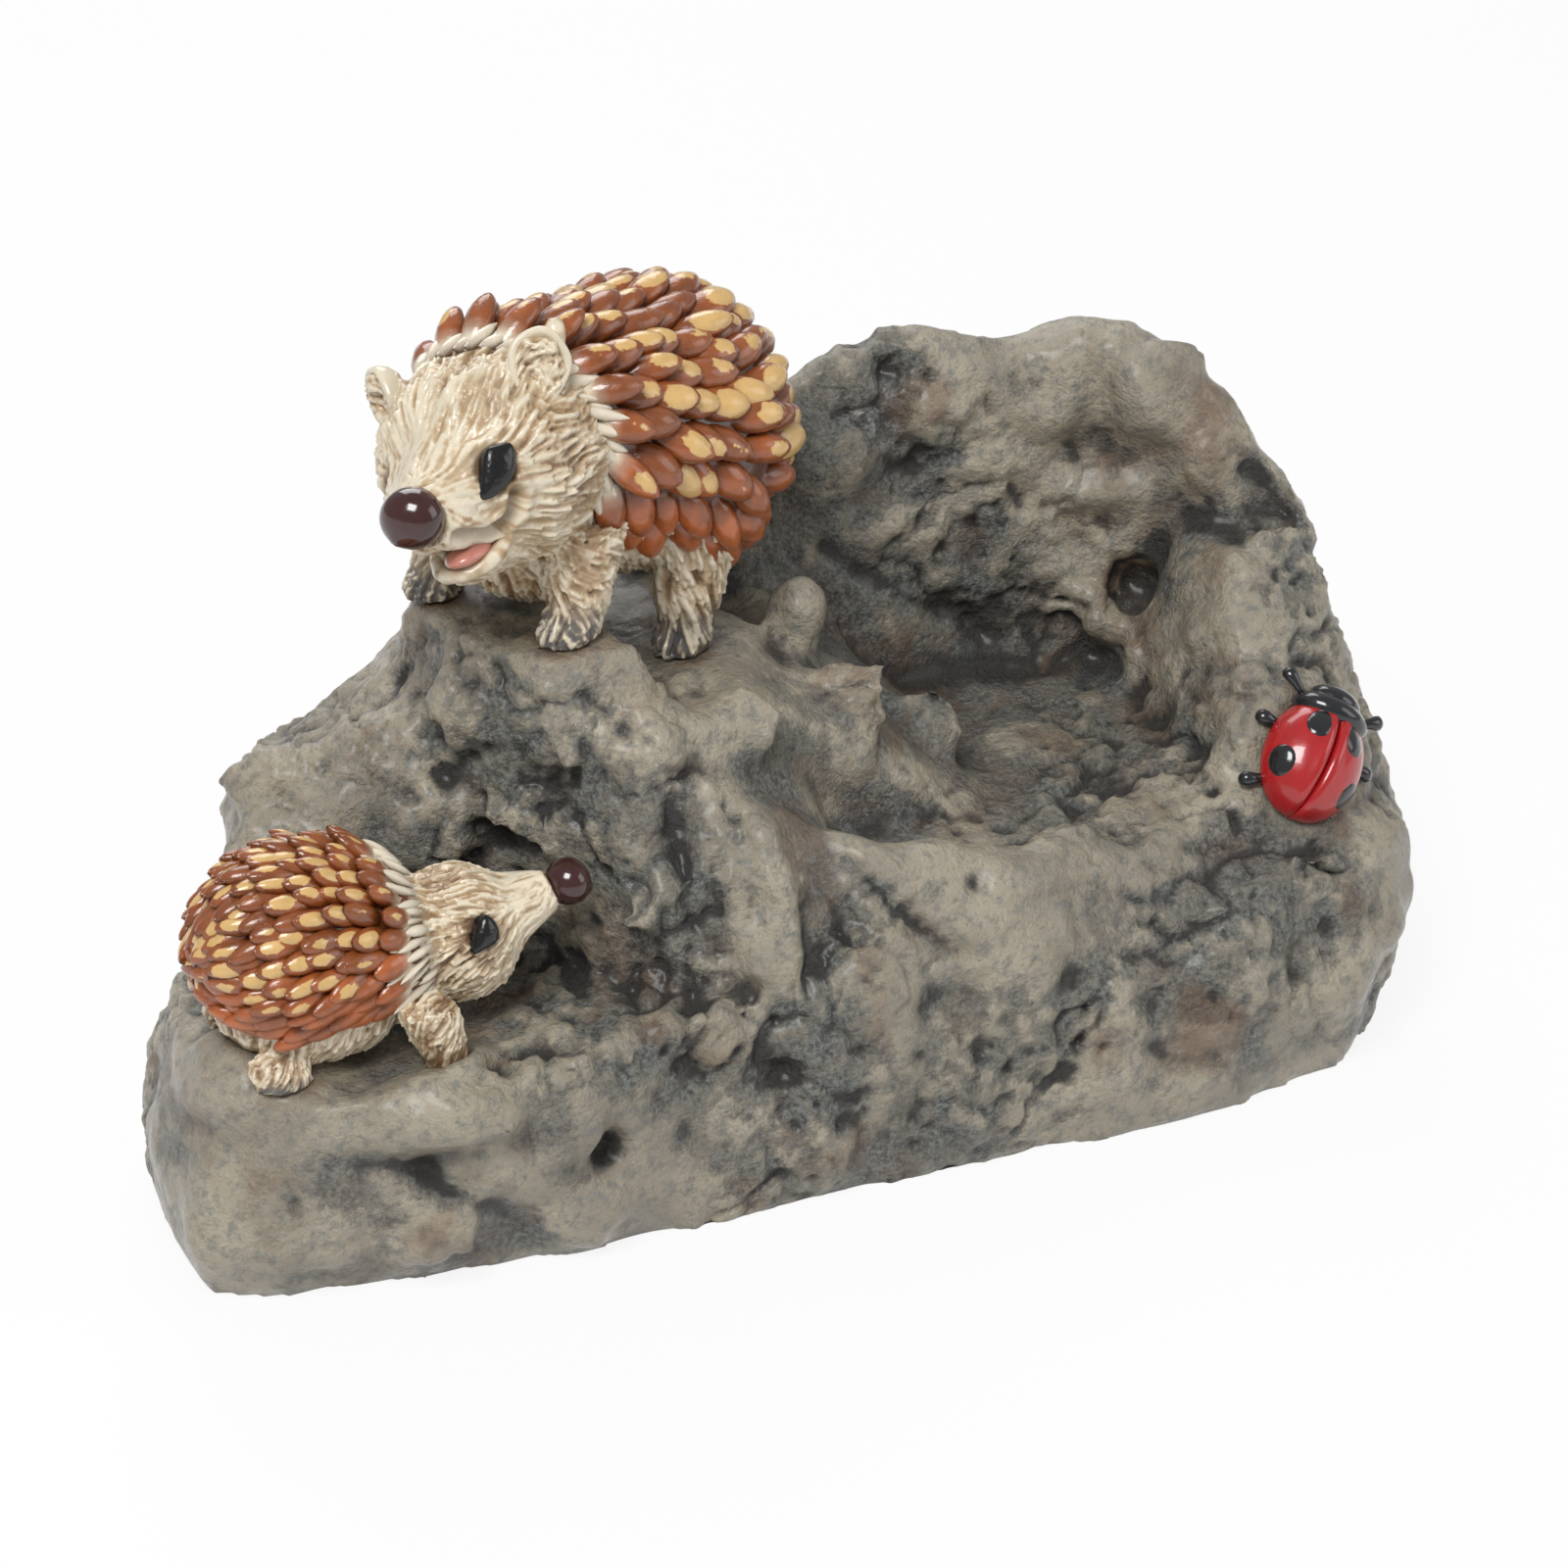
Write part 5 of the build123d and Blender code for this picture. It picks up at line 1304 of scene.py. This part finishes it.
def wing_point(ahead, lean, raise_by=0.0):
    """point on the wing cases, some way ahead of their middle and round from the top, and its reach"""
    reach = math.sqrt(max(0.0, 1 - (ahead / (0.5 * BEETLE_LENGTH)) ** 2))
    surface = reach / math.hypot(math.cos(lean) / BEETLE_HEIGHT, 2 * math.sin(lean) / BEETLE_WIDTH)
    surface += raise_by
    return (ahead, surface * math.sin(lean), surface * math.cos(lean)), surface


def wing_spots(base):
    """raised oval spots that follow the wing cases"""
    points, faces = [], []
    rings, around = 7, 24
    for ahead_share, lean in SPOT_ROWS:
        for side in (1, -1):
            faces += ring_faces(rings, around, start=len(points), flipped=side < 0)
            ahead = (ahead_share + 0.1) * BEETLE_LENGTH
            middle_lean = side * math.radians(lean)
            _, surface = wing_point(ahead, middle_lean)
            for ring in range(rings):
                share = 1 - ring / (rings - 1)
                height = 0.00042 * math.sqrt(max(0.0, 1 - share ** 3)) - 0.00012
                for turn in turns_round(around):
                    reach = SPOT_RADIUS * share * (1 + 0.04 * math.sin(2 * turn + ahead_share * 9))
                    point, _ = wing_point(ahead + 1.12 * reach * math.cos(turn),
                                          middle_lean + reach * math.sin(turn) / max(surface, 0.003), height)
                    points.append(point)
    return piece_from("Ladybird_spots", base.world(points), faces)


def beetle_legs():
    """six stubby legs, thicker towards their feet"""
    points, faces = [], []
    around = 12
    for hip_share, angle in LEG_PAIRS:
        for side in (1, -1):
            hip = LADYBIRD.moved(hip_share * BEETLE_LENGTH, 0, 0)
            turn = side * math.radians(angle)
            out = np.array((math.cos(turn), math.sin(turn), 0.0))
            across = np.array((-math.sin(turn), math.cos(turn), 0.0))
            start = len(points)
            for reach, thick, height in LEG_RINGS:
                for spin in turns_round(around):
                    ring = out * reach * BEETLE_WIDTH + across * 0.00095 * thick * math.cos(spin)
                    ring[2] += 0.0045 * height * 0.6 - 0.0002 + 0.00085 * thick * math.sin(spin)
                    points.append(hip.world(ring))
            faces += ring_faces(len(LEG_RINGS), around, start)
            faces.append(tuple(range(len(points) - around, len(points))))
            faces.append(tuple(start + around - 1 - step for step in range(around)))
    return piece_from("Ladybird_legs", points, faces)


def wing_case(name, base, side):
    """thin domed case of one side, with a lip along the seam"""
    rings, across = 29, 23
    points, faces = [], []
    for ring in range(rings):
        back = math.pi * ring / (rings - 1)
        reach = math.sin(back) ** 0.9
        for step in range(across):
            turn = 0.5 * math.pi * step / (across - 1)
            left = SEAM_HALF_WIDTH + (0.5 * BEETLE_WIDTH - SEAM_HALF_WIDTH) * reach * math.cos(turn)
            lip = 0.00025 * math.exp(-((left - 0.0011) / 0.0006) ** 2)
            up = BEETLE_HEIGHT * reach * math.sin(turn) + (lip - 0.0005 * math.exp(-(left / 0.0005) ** 2))
            points.append((0.5 * BEETLE_LENGTH * math.cos(back), side * left, max(up, 0.0)))
    for ring in range(rings - 1):
        for step in range(across - 1):
            a = ring * across + step
            face = (a, a + 1, a + across + 1, a + across)
            faces.append(face if side < 0 else face[::-1])
    case = piece_from(name, base.world(points), faces)
    wall = case.modifiers.new("Wall", "SOLIDIFY")
    wall.thickness = 0.0004
    wall.offset = -1
    return case


class ORNAMENT_OT_ladybird(bpy.types.Operator):
    """Round and paint the ladybird"""
    bl_idname = "ornament.ladybird"
    bl_label = "Ladybird"

    def execute(self, context):
        settings = context.scene.ornament_gloss
        red = gloss_paint("Wing_paint", settings.wing_red, roughness=0.24, mottle=0.3)
        black = gloss_paint("Beetle_paint", settings.beetle_black, roughness=0.18, mottle=0.2)
        base = LADYBIRD.moved(-0.1 * BEETLE_LENGTH, 0, BEETLE_BELLY)
        for side, side_name in ((1, "left"), (-1, "right")):
            case = wing_case(side_name.capitalize() + "_wing_case", base, side)
            finish_piece(case, red, "wing_case", f"ladybird_{side_name}_wing_case")
        neck = egg("Ladybird_neck_shield", LADYBIRD.moved(0.31 * BEETLE_LENGTH, 0, BEETLE_BELLY),
                   (0.16 * BEETLE_LENGTH, 0.40 * BEETLE_WIDTH, 0.80 * BEETLE_HEIGHT), flat_below=0.8)
        finish_piece(neck, black, "ladybird_black", "ladybird_head")
        head = egg("Ladybird_face", LADYBIRD.moved(0.43 * BEETLE_LENGTH, 0, BEETLE_BELLY),
                   (0.13 * BEETLE_LENGTH, 0.27 * BEETLE_WIDTH, 0.56 * BEETLE_HEIGHT), flat_below=0.8)
        finish_piece(head, black, "ladybird_black", "ladybird_head")
        finish_piece(wing_spots(base), black, "ladybird_black", "ladybird_spots")
        finish_piece(beetle_legs(), black, "ladybird_black", "ladybird_legs")
        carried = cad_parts["ladybird_underbody"]
        carried.data.materials.clear()
        carried.data.materials.append(black)
        return {"FINISHED"}


# The stage

WHITE = (1.0, 1.0, 1.0, 1.0)
SCENE_MIDDLE = Vector((0.004, -0.004, 0.04))

# Each lamp's name, place, size and power
LAMPS = (("Key", (-0.42, -0.42, 0.85), 0.42, 7.6), ("Fill", (0.65, -0.45, 0.40), 0.5, 1.3),
         ("Rim", (0.15, 0.65, 0.60), 0.5, 2.6))


def floor_paint():
    """plain floor that looks white but keeps the shadows"""
    paint = Paint("Floor_paint")
    seen = paint.node("ShaderNodeLightPath")
    white = paint.node("ShaderNodeEmission")
    white.inputs["Color"].default_value = WHITE
    paint.surface((0.82, 0.82, 0.82, 1.0), 0.6)
    blend = paint.node("ShaderNodeMixShader")
    shown = paint.math("MAXIMUM", seen.outputs["Is Camera Ray"], seen.outputs["Is Glossy Ray"])
    paint.links.new(paint.times(shown, 0.88), blend.inputs["Fac"])
    paint.links.new(paint.shader.outputs["BSDF"], blend.inputs[1])
    paint.links.new(white.outputs["Emission"], blend.inputs[2])
    paint.links.new(blend.outputs["Shader"], paint.nodes["Material Output"].inputs["Surface"])
    return paint.material


def studio_world():
    """soft white light, and a white background for the camera"""
    world = bpy.data.worlds.new("Studio")
    world.use_nodes = True
    tree = world.node_tree
    sky = tree.nodes["Background"]
    sky.inputs["Color"].default_value = WHITE
    sky.inputs["Strength"].default_value = 0.34
    shown = tree.nodes.new("ShaderNodeBackground")
    shown.inputs["Color"].default_value = WHITE
    path = tree.nodes.new("ShaderNodeLightPath")
    either = tree.nodes.new("ShaderNodeMath")
    either.operation = "MAXIMUM"
    choose = tree.nodes.new("ShaderNodeMixShader")
    for start, end in ((path.outputs["Is Camera Ray"], either.inputs[0]),
                       (path.outputs["Is Transmission Ray"], either.inputs[1]),
                       (either.outputs["Value"], choose.inputs["Fac"]),
                       (sky.outputs["Background"], choose.inputs[1]),
                       (shown.outputs["Background"], choose.inputs[2]),
                       (choose.outputs["Shader"], tree.nodes["World Output"].inputs["Surface"])):
        tree.links.new(start, end)
    return world


class ORNAMENT_OT_stage(bpy.types.Operator):
    """Set the floor, the lights and the camera"""
    bl_idname = "ornament.stage"
    bl_label = "Stage"

    def execute(self, context):
        settings = context.scene.ornament_stage
        scene = context.scene
        floor = piece_from("Floor", [(-4, -4, 0), (4, -4, 0), (4, 4, 0), (-4, 4, 0)], [(0, 1, 2, 3)],
                           smooth=False)
        floor.location.z = -0.00005
        floor.data.materials.append(floor_paint())
        scene.world = studio_world()

        for name, place, size, power in LAMPS:
            lamp = bpy.data.lights.new(name, "AREA")
            lamp.size = size
            lamp.energy = power
            light = bpy.data.objects.new(name, lamp)
            light.location = place
            light.rotation_euler = (SCENE_MIDDLE - Vector(place)).to_track_quat("-Z", "Y").to_euler()
            scene.collection.objects.link(light)

        camera = bpy.data.objects.new("Camera", bpy.data.cameras.new("Camera"))
        turn, rise = settings.azimuth, settings.elevation
        back = Vector((math.sin(turn) * math.cos(rise), -math.cos(turn) * math.cos(rise), math.sin(rise)))
        camera.location = SCENE_MIDDLE + back * settings.distance
        camera.rotation_euler = (-back).to_track_quat("-Z", "Y").to_euler()
        camera.data.lens = settings.lens
        camera.data.sensor_width = 36.0
        camera.data.clip_start = 0.01
        scene.collection.objects.link(camera)
        scene.camera = camera
        scene.view_settings.view_transform = "Standard"
        return {"FINISHED"}


class ORNAMENT_PT_panel(bpy.types.Panel):
    """Lists the ornament's sizes, colours and steps"""
    bl_idname = "ORNAMENT_PT_panel"
    bl_label = "Hedgehog Rock Ornament"
    bl_space_type = "VIEW_3D"
    bl_region_type = "UI"
    bl_category = "Ornament"

    def draw(self, context):
        layout = self.layout
        for group_name in SETTINGS:
            group = getattr(context.scene, group_name)
            box = layout.box()
            for field in group.bl_rna.properties:
                if field.identifier not in {"rna_type", "name"}:
                    box.prop(group, field.identifier)
        for operator in OPERATORS:
            layout.operator(operator.bl_idname)


SETTINGS = {
    "ornament_rock": RockSettings,
    "ornament_fur": FurSettings,
    "ornament_quills": QuillSettings,
    "ornament_gloss": GlossSettings,
    "ornament_stage": StageSettings,
}
OPERATORS = (
    ORNAMENT_OT_stage,
    ORNAMENT_OT_rock,
    ORNAMENT_OT_large_fur,
    ORNAMENT_OT_small_fur,
    ORNAMENT_OT_quills,
    ORNAMENT_OT_faces,
    ORNAMENT_OT_ladybird,
)


def register():
    for settings in SETTINGS.values():
        bpy.utils.register_class(settings)
    for name, settings in SETTINGS.items():
        setattr(bpy.types.Scene, name, PointerProperty(type=settings))
    for made in OPERATORS + (ORNAMENT_PT_panel,):
        bpy.utils.register_class(made)


def unregister():
    for made in reversed(OPERATORS + (ORNAMENT_PT_panel,)):
        bpy.utils.unregister_class(made)
    for name in SETTINGS:
        delattr(bpy.types.Scene, name)
    for settings in reversed(SETTINGS.values()):
        bpy.utils.unregister_class(settings)


def main():
    register()
    bpy.ops.ornament.stage()
    bpy.ops.ornament.rock()
    bpy.ops.ornament.large_fur()
    bpy.ops.ornament.small_fur()
    bpy.ops.ornament.quills()
    bpy.ops.ornament.faces()
    bpy.ops.ornament.ladybird()


if __name__ == "__main__":
    main()
